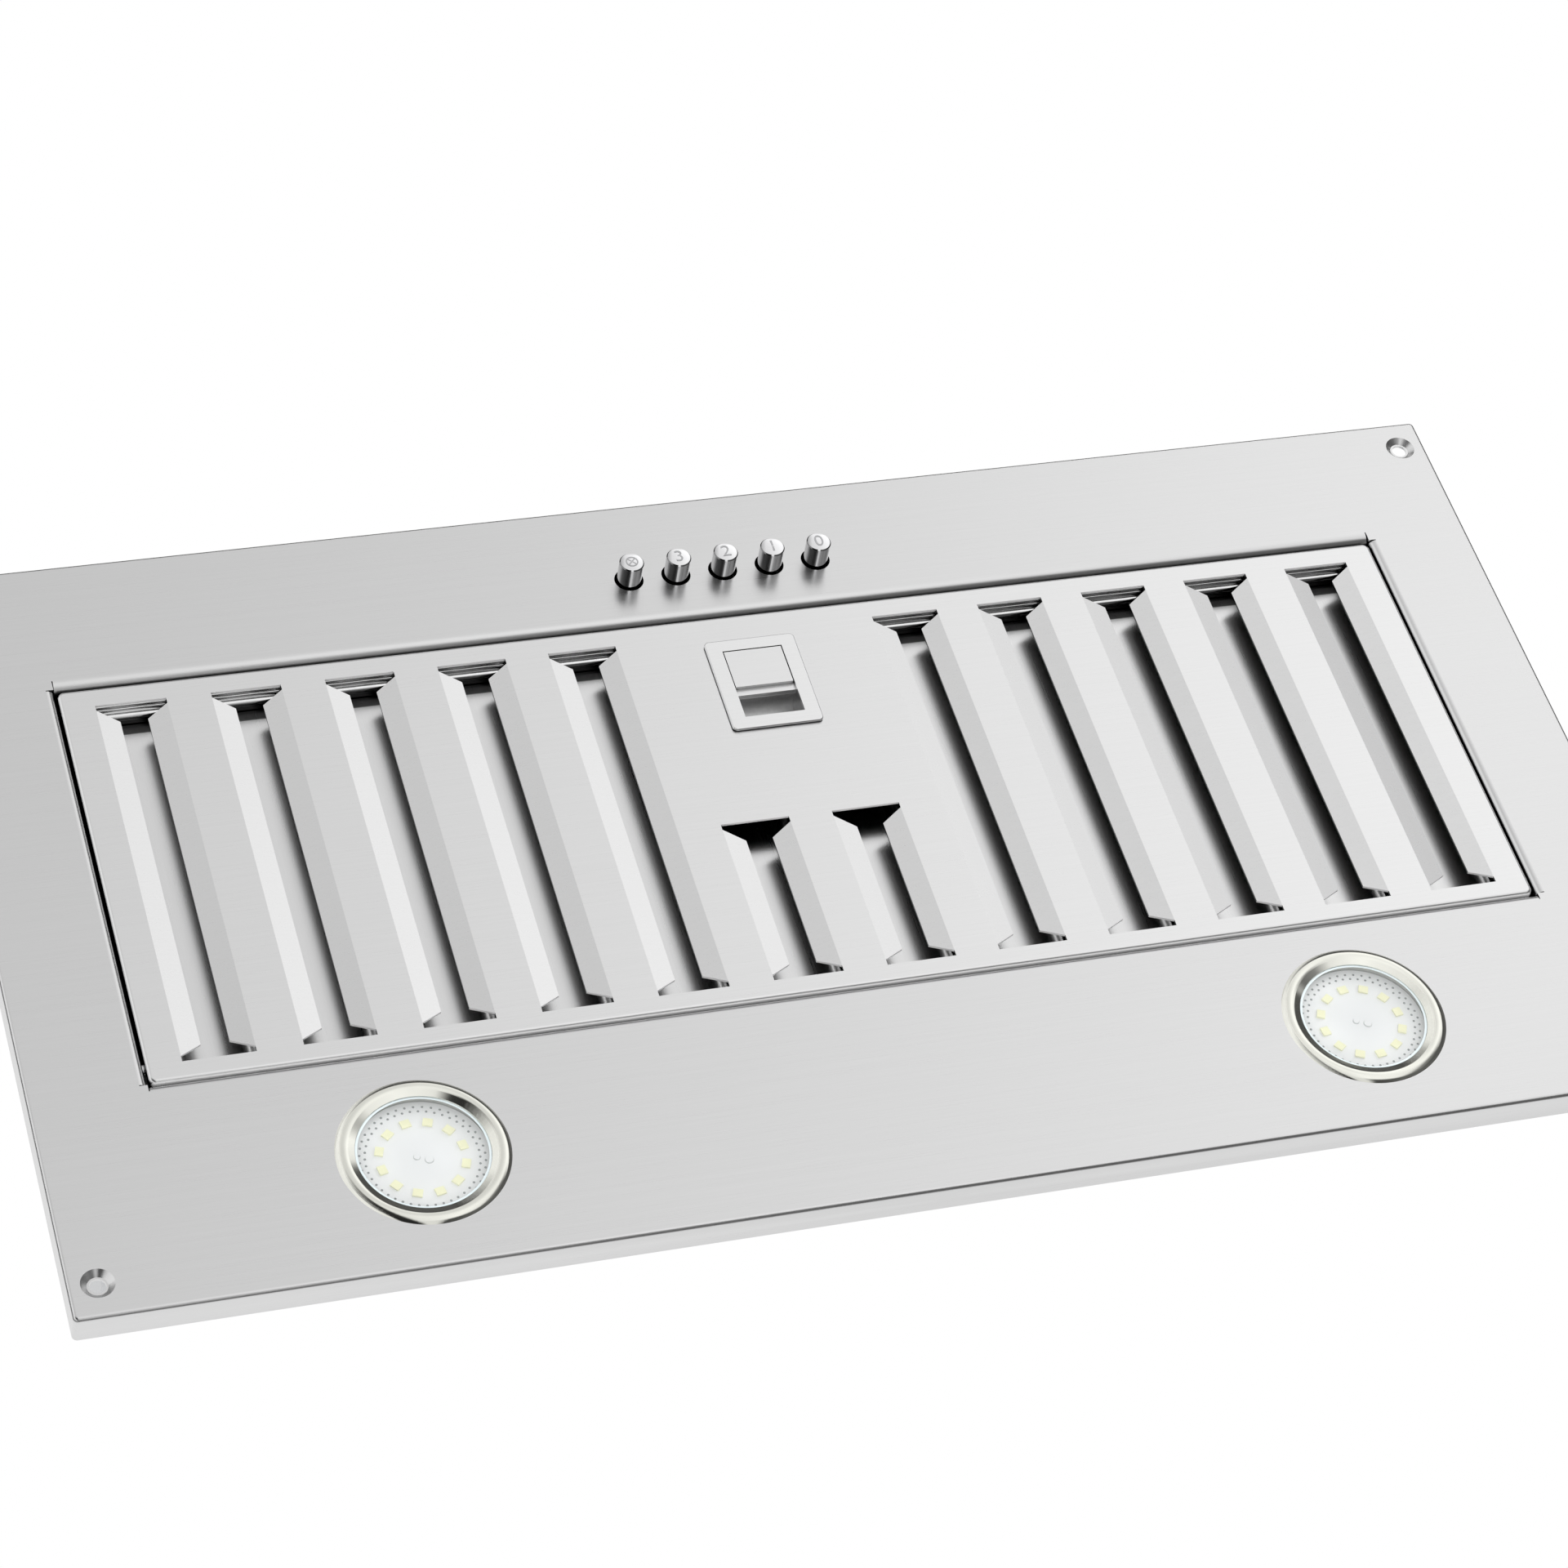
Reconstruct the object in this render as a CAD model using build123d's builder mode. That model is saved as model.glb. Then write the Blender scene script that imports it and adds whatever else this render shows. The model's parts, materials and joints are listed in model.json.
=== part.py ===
from build123d import *

import os
from math import cos, pi, radians, sin, sqrt, tan

# Undermount range hood, in millimetres, as it hangs: X to the right, Y to the rear, Z up.
# The origin is the centre of the four screw holes in the face plate, at the mouths of the holes.

# Face plate: a shallow stainless pan whose face looks down
plate_width = 520.0
plate_depth = 286.0
plate_sheet = 0.8
rim_height = 10.0
rim_fold = 1.2
rim_corner = 1.6
screw_inset_side = 9.0
screw_inset_end = 11.5
screw_hole_diameter = 5.0
dimple_diameter = 10.0
dimple_depth = 1.6
dimple_land = 0.6

# Filter opening in the face plate, with folded lips on its four sides
opening_side_margin = 35.8
opening_front_margin = 51.8
opening_rear_margin = 77.8
lip_height = 9.0
lip_fold = 2.4
front_lip_fold = 3.6
corner_relief = 0.35

# Filter: slotted sheet, frame behind it and inner troughs
filter_gap = 0.8
filter_recess = 0.4
filter_sheet = 0.8
filter_skirt = 10.0
filter_fold = 1.2
filter_corner = 2.2
slot_count = 12
short_slot_count = 2
slot_side_margin = 10.9
slot_width = 22.4
slot_neck = 8.7
slot_front_margin = 7.4
slot_rear_margin = 6.3
short_slot_setback = 85.8
slot_end_flat = 2.1
slot_end_length = 6.4
flap_drop = 1.6
frame_inset = 4.8
frame_height = 10.1
frame_flange = 9.0
rail_web = 1.5
rail_depth = 3.75
rail_rise = 3.9
rail_fold = 2.1
low_bead_radius = 0.72
low_bead_reach = 1.36
low_bead_rise = 0.8
high_bead_radius = 0.45
high_bead_reach = 1.8
high_bead_rise = 2.1
cross_bar_width = 12.0
cross_bar_setback = 0.6
trough_floor_width = 18.0
trough_fold = 4.0
trough_end_gap = 0.4
trough_lap = 9.0

# Filter pivot: studs in the side lips, hooks in the filter's side skirts
pivot_diameter = 3.6
pivot_inset = 8.0
pivot_rise = 4.2
pivot_reach = 3.6
pivot_head_diameter = 5.0
pivot_head_height = 1.6
running_clearance = 0.05

# Filter latch
latch_width = 30.4
latch_length = 37.8
latch_front_margin = 11.3
latch_proud = 1.2
latch_corner = 1.6
latch_edge = 0.4
latch_foot_height = 0.4
latch_foot_inset = 0.7
latch_window_width = 20.0
latch_window_length = 28.4
latch_case_wall = 1.0
latch_case_depth = 11.6
latch_ledge = 2.6
recess_ledge = 0.6
recess_curve = 7.0
slider_sheet = 1.0
slider_side_lap = 1.0
slider_pad_gap = 0.35
slider_pad_recess = 0.1
slider_lip_radius = 1.4
slider_web = 2.0
slider_slack = 0.1
bolt_width = 12.0
bolt_thickness = 2.0
bolt_rise = 4.0
bolt_reach = 3.6
bolt_clearance = 0.5
latch_travel = 5.0
latch_spring_diameter = 5.0
latch_spring_wire = 0.5
latch_spring_turns = 6

# Push buttons and their switch
button_names = ("light", "3", "2", "1", "0")
button_pitch = 16.0
button_row_inset = 32.7
button_hole_diameter = 9.7
button_diameter = 8.1
button_proud = 8.8
button_crown = 0.3
button_bevel = 0.35
button_cap_inside = 3.0
button_travel = 4.0
stem_diameter = 5.0
stem_collar_diameter = 7.2
stem_collar_height = 2.0
switch_stand = 11.2
switch_sheet = 1.0
switch_depth = 22.0
switch_end_margin = 12.0
switch_chamber_diameter = 8.0
switch_chamber_depth = 13.0
switch_guide_depth = 8.0
switch_roof = 2.0
bracket_foot = 8.0
button_spring_diameter = 7.0
button_spring_wire = 0.5
button_spring_turns = 5

# Lamps
lamp_spacing = 299.5
lamp_row_inset = 40.3
bezel_diameter = 52.2
bezel_proud = 1.2
bezel_crest_inset = 2.6
bezel_slope = 24.0
bezel_lip_diameter = 40.4
bezel_lip_thickness = 0.4
bezel_skirt_diameter = 46.8
bezel_skirt_wall = 1.2
bezel_skirt_height = 12.0
lamp_hole_clearance = 0.4
glass_thickness = 1.2
seat_clearance = 0.2
can_height = 22.0
can_wall = 1.3
can_roof = 1.5
board_setback = 1.75
board_thickness = 1.6
led_count = 12
led_ring_diameter = 25.8
led_length = 3.0
led_width = 2.6
led_height = 0.6
left_lamp_turn = -10.8
right_lamp_turn = -7.5
clip_sheet = 0.6
clip_width = 8.0
clip_rise = 9.0
clip_spread = 7.0

# Body: a folded wrapper with two end panels
body_side_margin = 24.0
body_front_margin = 11.0
body_lamp_gap = 32.7
body_height = 118.0
body_sheet = 0.8
body_foot = 7.0
body_foot_fold = 1.6
body_top_fold = 1.0
end_flange = 9.0
body_screw_diameter = 3.9
body_screw_low = 28.0
body_screw_high = 90.0
body_screw_top = 72.0
body_screw_length = 6.0
screw_head_diameter = 8.0
screw_head_height = 2.4
screw_clearance = 0.05
stud_diameter = 3.0
stud_height = 6.0
stud_spacing = 110.0
stud_count = 4
nut_across_flats = 5.4
nut_height = 2.4

# Outlet: duct collar with two damper flaps on one rod
collar_diameter = 147.0
collar_wall = 2.0
collar_height = 40.0
collar_flange_diameter = 184.0
collar_flange_thickness = 2.5
collar_screw_circle = 166.0
collar_screw_count = 4
collar_ledge_width = 2.5
collar_ledge_rise = 16.0
collar_ledge_thickness = 2.0
flap_thickness = 1.5
flap_clearance = 0.8
flap_seat_gap = 0.3
flap_edge_gap = 3.2
damper_rod_diameter = 3.0
damper_rod_recess = 0.3
hinge_barrel_diameter = 5.2
hinge_barrel_length = 20.0
hinge_barrel_pitch = 24.0

# Blower: double-inlet scroll with a horizontal shaft along X
fan_rise = 69.6
fan_side_gap = 6.0
fan_sheet = 0.8
volute_radius = 45.0
volute_step = 6.0
tongue_offset = 8.0
tongue_rise = 1.4
inlet_diameter = 60.0
inlet_lip = 5.0
outlet_flange = 10.0
impeller_diameter = 80.0
impeller_bore = 64.0
impeller_width = 84.0
impeller_ring = 2.0
impeller_disc = 1.5
blade_count = 28
blade_thickness = 0.9
blade_bow = 1.8
blade_lean = -7.0
hub_diameter = 18.0
hub_back = 3.0
hub_front = 15.0
shaft_diameter = 8.0
shaft_overhang = 4.0
clip_ring_diameter = 15.0
clip_ring_thickness = 1.2
motor_diameter = 54.0
motor_hub_gap = 3.0
motor_wall = 1.5
bearing_diameter = 16.0
bearing_width = 5.0
bearing_boss_wall = 2.0
bearing_fit = 0.03
stator_bore = 26.0
stator_length = 28.0
stator_clearance = 0.05
rotor_gap = 0.5
motor_bracket_sheet = 1.6
motor_arm_count = 3
motor_arm_width = 12.0
motor_arm_circle = 80.0
bush_diameter = 10.0
bush_height = 7.2
motor_screw_tail = 4.0

# Wiring pieces
wiring_inset = 71.0
capacitor_diameter = 35.0
capacitor_length = 70.0
capacitor_inset = 47.0
capacitor_strap = 1.0
capacitor_strap_width = 14.0
driver_length = 110.0
driver_width = 40.0
driver_height = 26.0
terminal_length = 84.0
terminal_width = 60.0
terminal_height = 34.0
terminal_wall = 2.0
terminal_corner = 3.0
terminal_cover = 2.5
terminal_cover_lap = 3.0
terminal_block_length = 44.0
terminal_block_width = 20.0
terminal_block_height = 16.0
terminal_ways = 4
terminal_way_diameter = 5.0
cable_hole_diameter = 16.0
gland_bore = 9.0
gland_thread_diameter = 16.0
gland_nut_across_flats = 22.0
gland_nut_height = 9.0
gland_cap_diameter = 18.0
gland_cap_height = 9.0

# Levels and places that follow from the sizes above
plate_face = -dimple_depth
plate_back = plate_face + plate_sheet
screw_x = plate_width / 2 - screw_inset_side
screw_y = plate_depth / 2 - screw_inset_end
opening_side = plate_width / 2 - opening_side_margin
opening_front = -(plate_depth / 2 - opening_front_margin)
opening_rear = plate_depth / 2 - opening_rear_margin
opening_width = 2 * opening_side
opening_depth = opening_rear - opening_front
opening_offset = (opening_front + opening_rear) / 2

filter_face_z = plate_face + filter_recess
filter_width = opening_width - 2 * filter_gap
filter_depth = opening_depth - 2 * filter_gap
filter_front = opening_front + filter_gap
filter_rear = opening_rear - filter_gap
filter_side = filter_width / 2
filter_back_z = filter_face_z + filter_sheet
frame_top = filter_face_z + frame_height
trough_roof = frame_top - filter_sheet
trough_half = trough_floor_width / 2 + trough_fold
slot_front = filter_front + slot_front_margin
slot_rear = filter_rear - slot_rear_margin
short_slot_front = filter_front + short_slot_setback
long_slot_side = (slot_count - short_slot_count) // 2
slot_pitch = (filter_width - 2 * slot_side_margin - slot_width) / (slot_count - 1)
slot_x = [(index - (slot_count - 1) / 2) * slot_pitch for index in range(slot_count)]
long_slot_x = slot_x[:long_slot_side] + slot_x[-long_slot_side:]
short_slot_x = slot_x[long_slot_side:-long_slot_side]

pivot_y = filter_rear - pivot_inset
pivot_z = filter_face_z + pivot_rise

latch_y = filter_front + latch_front_margin + latch_length / 2
window_front = latch_y - latch_window_length / 2
window_rear = latch_y + latch_window_length / 2
slider_rear = window_rear - 2 * latch_travel
slider_z = filter_face_z + slider_slack
slider_half = latch_window_width / 2 + slider_side_lap
case_half = slider_half + slider_slack + latch_case_wall
case_front = window_front - slider_side_lap - latch_case_wall
case_rear = window_rear + latch_case_wall
case_roof = filter_back_z + latch_case_depth
ledge_z = slider_z + slider_sheet + slider_slack
bolt_z = filter_face_z + bolt_rise + bolt_thickness / 2
bolt_tip = opening_front - plate_sheet - bolt_reach

button_y = -(plate_depth / 2 - button_row_inset)
button_points = [((i - 2) * button_pitch, button_y) for i in range(len(button_names))]
bracket_under = plate_back + switch_stand
bracket_top = bracket_under + switch_sheet
switch_top = bracket_top + switch_chamber_depth + switch_guide_depth + switch_roof
switch_half = 2 * button_pitch + switch_end_margin
chamber_roof = bracket_top + switch_chamber_depth

lamp_y = plate_depth / 2 - lamp_row_inset
lamp_sides = (
    ("left", -lamp_spacing / 2, left_lamp_turn),
    ("right", lamp_spacing / 2, right_lamp_turn),
)
bezel_crest = bezel_diameter / 2 - bezel_crest_inset
bezel_arc = (bezel_proud**2 + bezel_crest_inset**2) / (2 * bezel_proud)
slope_radius = bezel_crest - bezel_arc * sin(radians(bezel_slope))
slope_z = plate_face - bezel_proud + bezel_arc * (1 - cos(radians(bezel_slope)))
lip_radius = bezel_lip_diameter / 2
lip_z = slope_z + (slope_radius - lip_radius) * tan(radians(bezel_slope))
glass_z = lip_z + bezel_lip_thickness
can_base = glass_z + glass_thickness
board_face = can_base + board_setback
can_radius = bezel_skirt_diameter / 2 - bezel_skirt_wall - seat_clearance

body_top = plate_back + body_height
body_roof = body_top - body_sheet
body_front = -(plate_depth / 2 - body_front_margin)
body_rear = lamp_y - body_lamp_gap
body_side = plate_width / 2 - body_side_margin
body_width = 2 * body_side
body_depth = body_rear - body_front
body_offset = (body_front + body_rear) / 2
collar_offset = body_offset

fan_z = plate_back + fan_rise
outlet_width = volute_radius + 3 * volute_step - tongue_offset
fan_y = collar_offset + outlet_width / 2 + tongue_offset
rod_z = body_top + collar_ledge_rise + collar_ledge_thickness + flap_seat_gap + flap_thickness / 2
collar_radius = collar_diameter / 2
collar_bore = collar_radius - collar_wall
fan_half_width = impeller_width / 2 + fan_side_gap
fan_side = fan_half_width + fan_sheet
bracket_x = -(fan_side + bush_height)
motor_end = -hub_back - motor_hub_gap
motor_length = motor_end - bracket_x
driver_x = body_side - wiring_inset
driver_y = body_offset
capacitor_x = -(body_side - wiring_inset)
capacitor_y = body_front + capacitor_inset
terminal_x = -(body_side - wiring_inset)
terminal_y = body_offset
terminal_floor = body_top + terminal_wall
terminal_left = terminal_x - terminal_length / 2
terminal_rim = body_top + terminal_height


def upright_section(x, y):
    """Plane through an upright axis, with X across and Z up."""
    return Plane(origin=(x, y, 0), x_dir=(1, 0, 0), z_dir=(0, -1, 0))


def upright_axis(x, y):
    return Axis((x, y, 0), (0, 0, 1))


def outline(*points):
    """Closed straight-sided face in the current sketch."""
    Polygon(*points, align=None)


def finish(builder, name):
    """Label a piece and write it as its own file."""
    builder.part.label = name
    export_step(builder.part, f"parts/{name}.step")


def pan_screw(place, diameter, length):
    """Cross-head screw whose head stands on the plane of place."""
    with Locations(place):
        Cylinder(diameter / 2, length, align=(Align.CENTER, Align.CENTER, Align.MAX))
        Cone(
            screw_head_diameter / 2,
            screw_head_diameter / 2 - screw_head_height / 2,
            screw_head_height,
            align=(Align.CENTER, Align.CENTER, Align.MIN),
        )
    with Locations(place * Location((0, 0, screw_head_height))):
        recess = screw_head_diameter * 0.6
        Box(recess, recess / 5, screw_head_height, mode=Mode.SUBTRACT)
        Box(recess / 5, recess, screw_head_height, mode=Mode.SUBTRACT)


def coil_points(radius, pitch, turns, steps_per_turn=4):
    """Points and headings along a coil about Z that starts at the origin's height."""
    rise = pitch / (2 * pi)
    speed = sqrt(radius**2 + rise**2)
    for step in range(turns * steps_per_turn + 1):
        angle = 2 * pi * step / steps_per_turn
        point = Vector(radius * cos(angle), radius * sin(angle), rise * angle)
        heading = Vector(-radius * sin(angle), radius * cos(angle), rise) / speed
        yield point, heading


def coil_path(radius, pitch, turns):
    """Draw a coil in the current line builder as pairs of tangent arcs, two to a quarter turn."""
    stations = list(coil_points(radius, pitch, turns))
    for (start, heading), (end, next_heading) in zip(stations, stations[1:]):
        chord = end - start
        total = heading + next_heading
        spread = 2 * (1 - heading.dot(next_heading))
        along = chord.dot(total)
        reach = (sqrt(along**2 + spread * chord.dot(chord)) - along) / spread
        middle = (start + end + (heading - next_heading) * reach) / 2
        joint_heading = (end - next_heading * reach) - (start + heading * reach)
        TangentArc(start, middle, tangent=heading)
        TangentArc(middle, end, tangent=joint_heading)


def coil_spring(diameter, wire, turns, length):
    """Spring of that outside size, standing on Z = 0, as a part to be placed."""
    radius = (diameter - wire) / 2
    pitch = (length - wire) / turns
    with BuildPart() as spring:
        with BuildLine() as path:
            coil_path(radius, pitch, turns)
        with BuildSketch(Plane(origin=path.line @ 0, z_dir=path.line % 0)):
            Circle(wire / 2)
        sweep(path=path.line)
    low = spring.part.bounding_box().min.Z
    return Pos(0, 0, -low) * spring.part


os.makedirs("parts", exist_ok=True)

# Face plate
lip_planes = (
    (Plane((0, opening_front, plate_face), (0, 1, 0), (1, 0, 0)), opening_width, front_lip_fold),
    (Plane((0, opening_rear, plate_face), (0, -1, 0), (-1, 0, 0)), opening_width, lip_fold),
    (Plane((-opening_side, opening_offset, plate_face), (1, 0, 0), (0, -1, 0)), opening_depth, lip_fold),
    (Plane((opening_side, opening_offset, plate_face), (-1, 0, 0), (0, 1, 0)), opening_depth, lip_fold),
)
cut_front = opening_front - front_lip_fold
cut_rear = opening_rear + lip_fold
screw_points = [(sx * screw_x, sy * screw_y) for sx in (-1, 1) for sy in (-1, 1)]
lamp_points = [(x, lamp_y) for _, x, _ in lamp_sides]

with BuildPart() as face_plate:
    with BuildSketch(Plane.XY.offset(plate_face)):
        Rectangle(plate_width, plate_depth)
    extrude(amount=rim_height)
    fillet(face_plate.edges().filter_by(Axis.Z), rim_corner)
    fillet(face_plate.faces().sort_by(Axis.Z)[0].edges(), rim_fold)
    offset(amount=-plate_sheet, openings=face_plate.faces().sort_by(Axis.Z)[-1])
    with BuildSketch(Plane.XY.offset(plate_face)):
        with Locations((0, (cut_front + cut_rear) / 2)):
            Rectangle(opening_width, cut_rear - cut_front)
        with Locations((0, opening_offset)):
            Rectangle(opening_width + 2 * lip_fold, opening_depth)
        with Locations(*button_points):
            Circle(button_hole_diameter / 2)
        with Locations(*lamp_points):
            Circle(bezel_skirt_diameter / 2 + lamp_hole_clearance)
        with Locations(*screw_points):
            Circle(dimple_diameter / 2)
    extrude(amount=plate_sheet, mode=Mode.SUBTRACT)
    for lip_plane, lip_span, fold in lip_planes:
        with BuildSketch(lip_plane):
            with BuildLine():
                CenterArc((-fold, fold), fold, -90, 90)
                Polyline(
                    (0, fold),
                    (0, lip_height),
                    (-plate_sheet, lip_height),
                    (-plate_sheet, fold),
                )
                CenterArc((-fold, fold), fold - plate_sheet, 0, -90)
                Line((-fold, plate_sheet), (-fold, 0))
            make_face()
        extrude(amount=lip_span / 2 - corner_relief, both=True)
    for x, y in screw_points:
        hole = screw_hole_diameter / 2
        with BuildSketch(upright_section(x, y)):
            outline(
                (dimple_diameter / 2, plate_face),
                (hole + dimple_land, 0),
                (hole, 0),
                (hole, plate_sheet),
                (hole + dimple_land, plate_sheet),
                (dimple_diameter / 2, plate_back),
            )
        revolve(axis=upright_axis(x, y))
    with BuildSketch(Plane.XZ.offset(-opening_front)):
        with Locations((0, bolt_z)):
            Rectangle(bolt_width + 2 * bolt_clearance, bolt_thickness + 2 * bolt_clearance)
    extrude(amount=lip_fold, both=True, mode=Mode.SUBTRACT)
    for side in (-1, 1):
        with BuildSketch(Plane.YZ.offset(side * opening_side)):
            with Locations((pivot_y, pivot_z)):
                Circle(pivot_diameter / 2)
        extrude(amount=lip_fold, both=True, mode=Mode.SUBTRACT)
finish(face_plate, "face_plate")

# Studs that carry the filter's rear edge, riveted in the side lips
with BuildPart() as filter_pivot_studs:
    for side in (-1, 1):
        with BuildSketch(Plane.YZ.offset(side * (opening_side - pivot_reach))):
            with Locations((pivot_y, pivot_z)):
                Circle(pivot_diameter / 2)
        extrude(amount=side * (pivot_reach + plate_sheet))
        with BuildSketch(Plane.YZ.offset(side * (opening_side + plate_sheet))):
            with Locations((pivot_y, pivot_z)):
                Circle(pivot_head_diameter / 2)
        extrude(amount=side * pivot_head_height)
finish(filter_pivot_studs, "filter_pivot_studs")

# Filter sheet: a slotted pan with its slot sides bent in as flaps
slot_spans = (
    (long_slot_x, slot_front),
    (short_slot_x, short_slot_front),
)
slot_half = slot_width / 2
neck_half = slot_neck / 2
case_cut = (2 * (slider_half + slider_slack), window_rear - window_front + slider_side_lap)

with BuildPart() as filter_face:
    with BuildSketch(Plane.XY.offset(filter_face_z)):
        with Locations((0, opening_offset)):
            Rectangle(filter_width, filter_depth)
    extrude(amount=filter_skirt)
    fillet(filter_face.edges().filter_by(Axis.Z), filter_corner)
    fillet(filter_face.faces().sort_by(Axis.Z)[0].edges(), filter_fold)
    offset(amount=-filter_sheet, openings=filter_face.faces().sort_by(Axis.Z)[-1])
    with BuildSketch(Plane.XY.offset(filter_face_z)):
        for places, front in slot_spans:
            with Locations(*[(x, (front + slot_rear) / 2) for x in places]):
                Rectangle(slot_width, slot_rear - front)
        with Locations((0, window_rear - case_cut[1] / 2)):
            Rectangle(*case_cut)
    extrude(amount=filter_sheet, mode=Mode.SUBTRACT)
    for places, front in slot_spans:
        with BuildSketch(Plane.XZ.offset(-front)):
            for x in places:
                for side in (-1, 1):
                    outline(
                        (x + side * slot_half, filter_face_z),
                        (x + side * neck_half, filter_face_z + flap_drop),
                        (x + side * neck_half, filter_back_z + flap_drop),
                        (x + side * slot_half, filter_back_z),
                    )
        extrude(amount=-(slot_rear - front))
        with BuildSketch(Plane.XY.offset(filter_face_z)):
            for x in places:
                for end, inward in ((front, 1), (slot_rear, -1)):
                    outline(
                        (x - slot_half, end),
                        (x - slot_half, end + inward * slot_end_flat),
                        (x - neck_half, end + inward * slot_end_length),
                        (x + neck_half, end + inward * slot_end_length),
                        (x + slot_half, end + inward * slot_end_flat),
                        (x + slot_half, end),
                    )
        extrude(amount=flap_drop + filter_sheet, mode=Mode.SUBTRACT)
    with BuildSketch(Plane.XZ.offset(-filter_front)):
        with Locations((0, bolt_z)):
            Rectangle(bolt_width + 2 * bolt_clearance, bolt_thickness + 2 * bolt_clearance)
    extrude(amount=filter_fold, both=True, mode=Mode.SUBTRACT)
    for side in (-1, 1):
        hook_radius = pivot_diameter / 2 + running_clearance
        with BuildSketch(Plane.YZ.offset(side * filter_side)):
            with Locations((pivot_y, pivot_z)):
                Circle(hook_radius)
            with Locations((pivot_y + pivot_inset / 2, pivot_z)):
                Rectangle(pivot_inset, 2 * hook_radius)
        extrude(amount=filter_fold, both=True, mode=Mode.SUBTRACT)
finish(filter_face, "filter_face")

# Filter frame: a ring with a return flange that the troughs lie on, one cross bar,
# and a rounded rail with two beads under it along its front wall
frame_width = filter_width - 2 * frame_inset
frame_depth = filter_depth - 2 * frame_inset
frame_front_inside = filter_front + frame_inset + filter_sheet
frame_rear_inside = filter_rear - frame_inset - filter_sheet
short_trough_front = short_slot_front - trough_lap
cross_bar_y = short_trough_front + cross_bar_setback + cross_bar_width / 2

with BuildPart() as filter_frame:
    with BuildSketch(Plane.XY.offset(filter_back_z)):
        with Locations((0, opening_offset)):
            Rectangle(frame_width, frame_depth)
            Rectangle(frame_width - 2 * filter_sheet, frame_depth - 2 * filter_sheet, mode=Mode.SUBTRACT)
    extrude(amount=frame_top - filter_back_z)
    with BuildSketch(Plane.XY.offset(trough_roof)):
        with Locations((0, opening_offset)):
            Rectangle(frame_width, frame_depth)
            Rectangle(frame_width - 2 * frame_flange, frame_depth - 2 * frame_flange, mode=Mode.SUBTRACT)
        with Locations((0, cross_bar_y)):
            Rectangle(frame_width - 2 * filter_sheet, cross_bar_width)
    extrude(amount=filter_sheet)
    with BuildSketch(Plane.YZ.offset(-frame_width / 2)):
        web_centre = (frame_front_inside + rail_web / 2, (filter_back_z + trough_roof) / 2)
        with Locations(web_centre):
            Rectangle(rail_web, trough_roof - filter_back_z)
        with Locations((frame_front_inside + low_bead_reach, filter_back_z + low_bead_rise)):
            Circle(low_bead_radius)
        with Locations((frame_front_inside + high_bead_reach, filter_back_z + high_bead_rise)):
            Circle(high_bead_radius)
        rail_rear = frame_front_inside + rail_depth
        rail_under = filter_back_z + rail_rise
        with BuildLine():
            Line((frame_front_inside, rail_under), (rail_rear - rail_fold, rail_under))
            CenterArc((rail_rear - rail_fold, rail_under + rail_fold), rail_fold, -90, 90)
            Line((rail_rear, rail_under + rail_fold), (rail_rear, trough_roof))
            Line((rail_rear, trough_roof), (frame_front_inside, trough_roof))
            Line((frame_front_inside, trough_roof), (frame_front_inside, rail_under))
        make_face()
    extrude(amount=frame_width)
    with BuildSketch(Plane.XZ.offset(-frame_front_inside)):
        with Locations((0, bolt_z)):
            Rectangle(bolt_width + 2 * bolt_clearance, bolt_thickness + 2 * bolt_clearance)
    extrude(amount=filter_sheet + rail_depth, both=True, mode=Mode.SUBTRACT)
finish(filter_frame, "filter_frame")

# Inner troughs, one behind each slot, flat-floored and open to the slots
trough_spans = (
    (long_slot_x, frame_front_inside + rail_depth + trough_end_gap),
    (short_slot_x, short_trough_front),
)
trough_rear = frame_rear_inside - trough_end_gap
floor_half = trough_floor_width / 2
inner_fold = trough_fold - filter_sheet
fold_z = trough_roof - trough_fold

with BuildPart() as filter_baffles:
    for places, front in trough_spans:
        with BuildSketch(Plane.XZ.offset(-front)):
            for x in places:
                with BuildLine():
                    Line((x - floor_half, trough_roof), (x + floor_half, trough_roof))
                    CenterArc((x + floor_half, fold_z), trough_fold, 90, -90)
                    Line((x + trough_half, fold_z), (x + floor_half + inner_fold, fold_z))
                    CenterArc((x + floor_half, fold_z), inner_fold, 0, 90)
                    Line((x + floor_half, fold_z + inner_fold), (x - floor_half, fold_z + inner_fold))
                    CenterArc((x - floor_half, fold_z), inner_fold, 90, 90)
                    Line((x - floor_half - inner_fold, fold_z), (x - trough_half, fold_z))
                    CenterArc((x - floor_half, fold_z), trough_fold, 180, -90)
                make_face()
        extrude(amount=-(trough_rear - front))
finish(filter_baffles, "filter_baffles")

# Latch surround on the filter's face
foot_width = latch_width - 2 * latch_foot_inset
foot_length = latch_length - 2 * latch_foot_inset

with BuildPart() as latch_bezel:
    with BuildSketch(Plane.XY.offset(filter_face_z - latch_proud)):
        with Locations((0, latch_y)):
            RectangleRounded(latch_width, latch_length, latch_corner)
            Rectangle(latch_window_width, latch_window_length, mode=Mode.SUBTRACT)
    extrude(amount=latch_proud - latch_foot_height)
    fillet(latch_bezel.faces().sort_by(Axis.Z)[0].outer_wire().edges(), latch_edge)
    with BuildSketch(Plane.XY.offset(filter_face_z)):
        with Locations((0, latch_y)):
            Rectangle(foot_width, foot_length)
            Rectangle(latch_window_width, latch_window_length, mode=Mode.SUBTRACT)
    extrude(amount=-latch_foot_height)
finish(latch_bezel, "latch_bezel")

# Latch case behind the sheet: finger recess at the rear, spring chamber at the front
partition_y = slider_rear - 2 * slider_lip_radius - slider_slack - latch_case_wall

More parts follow.
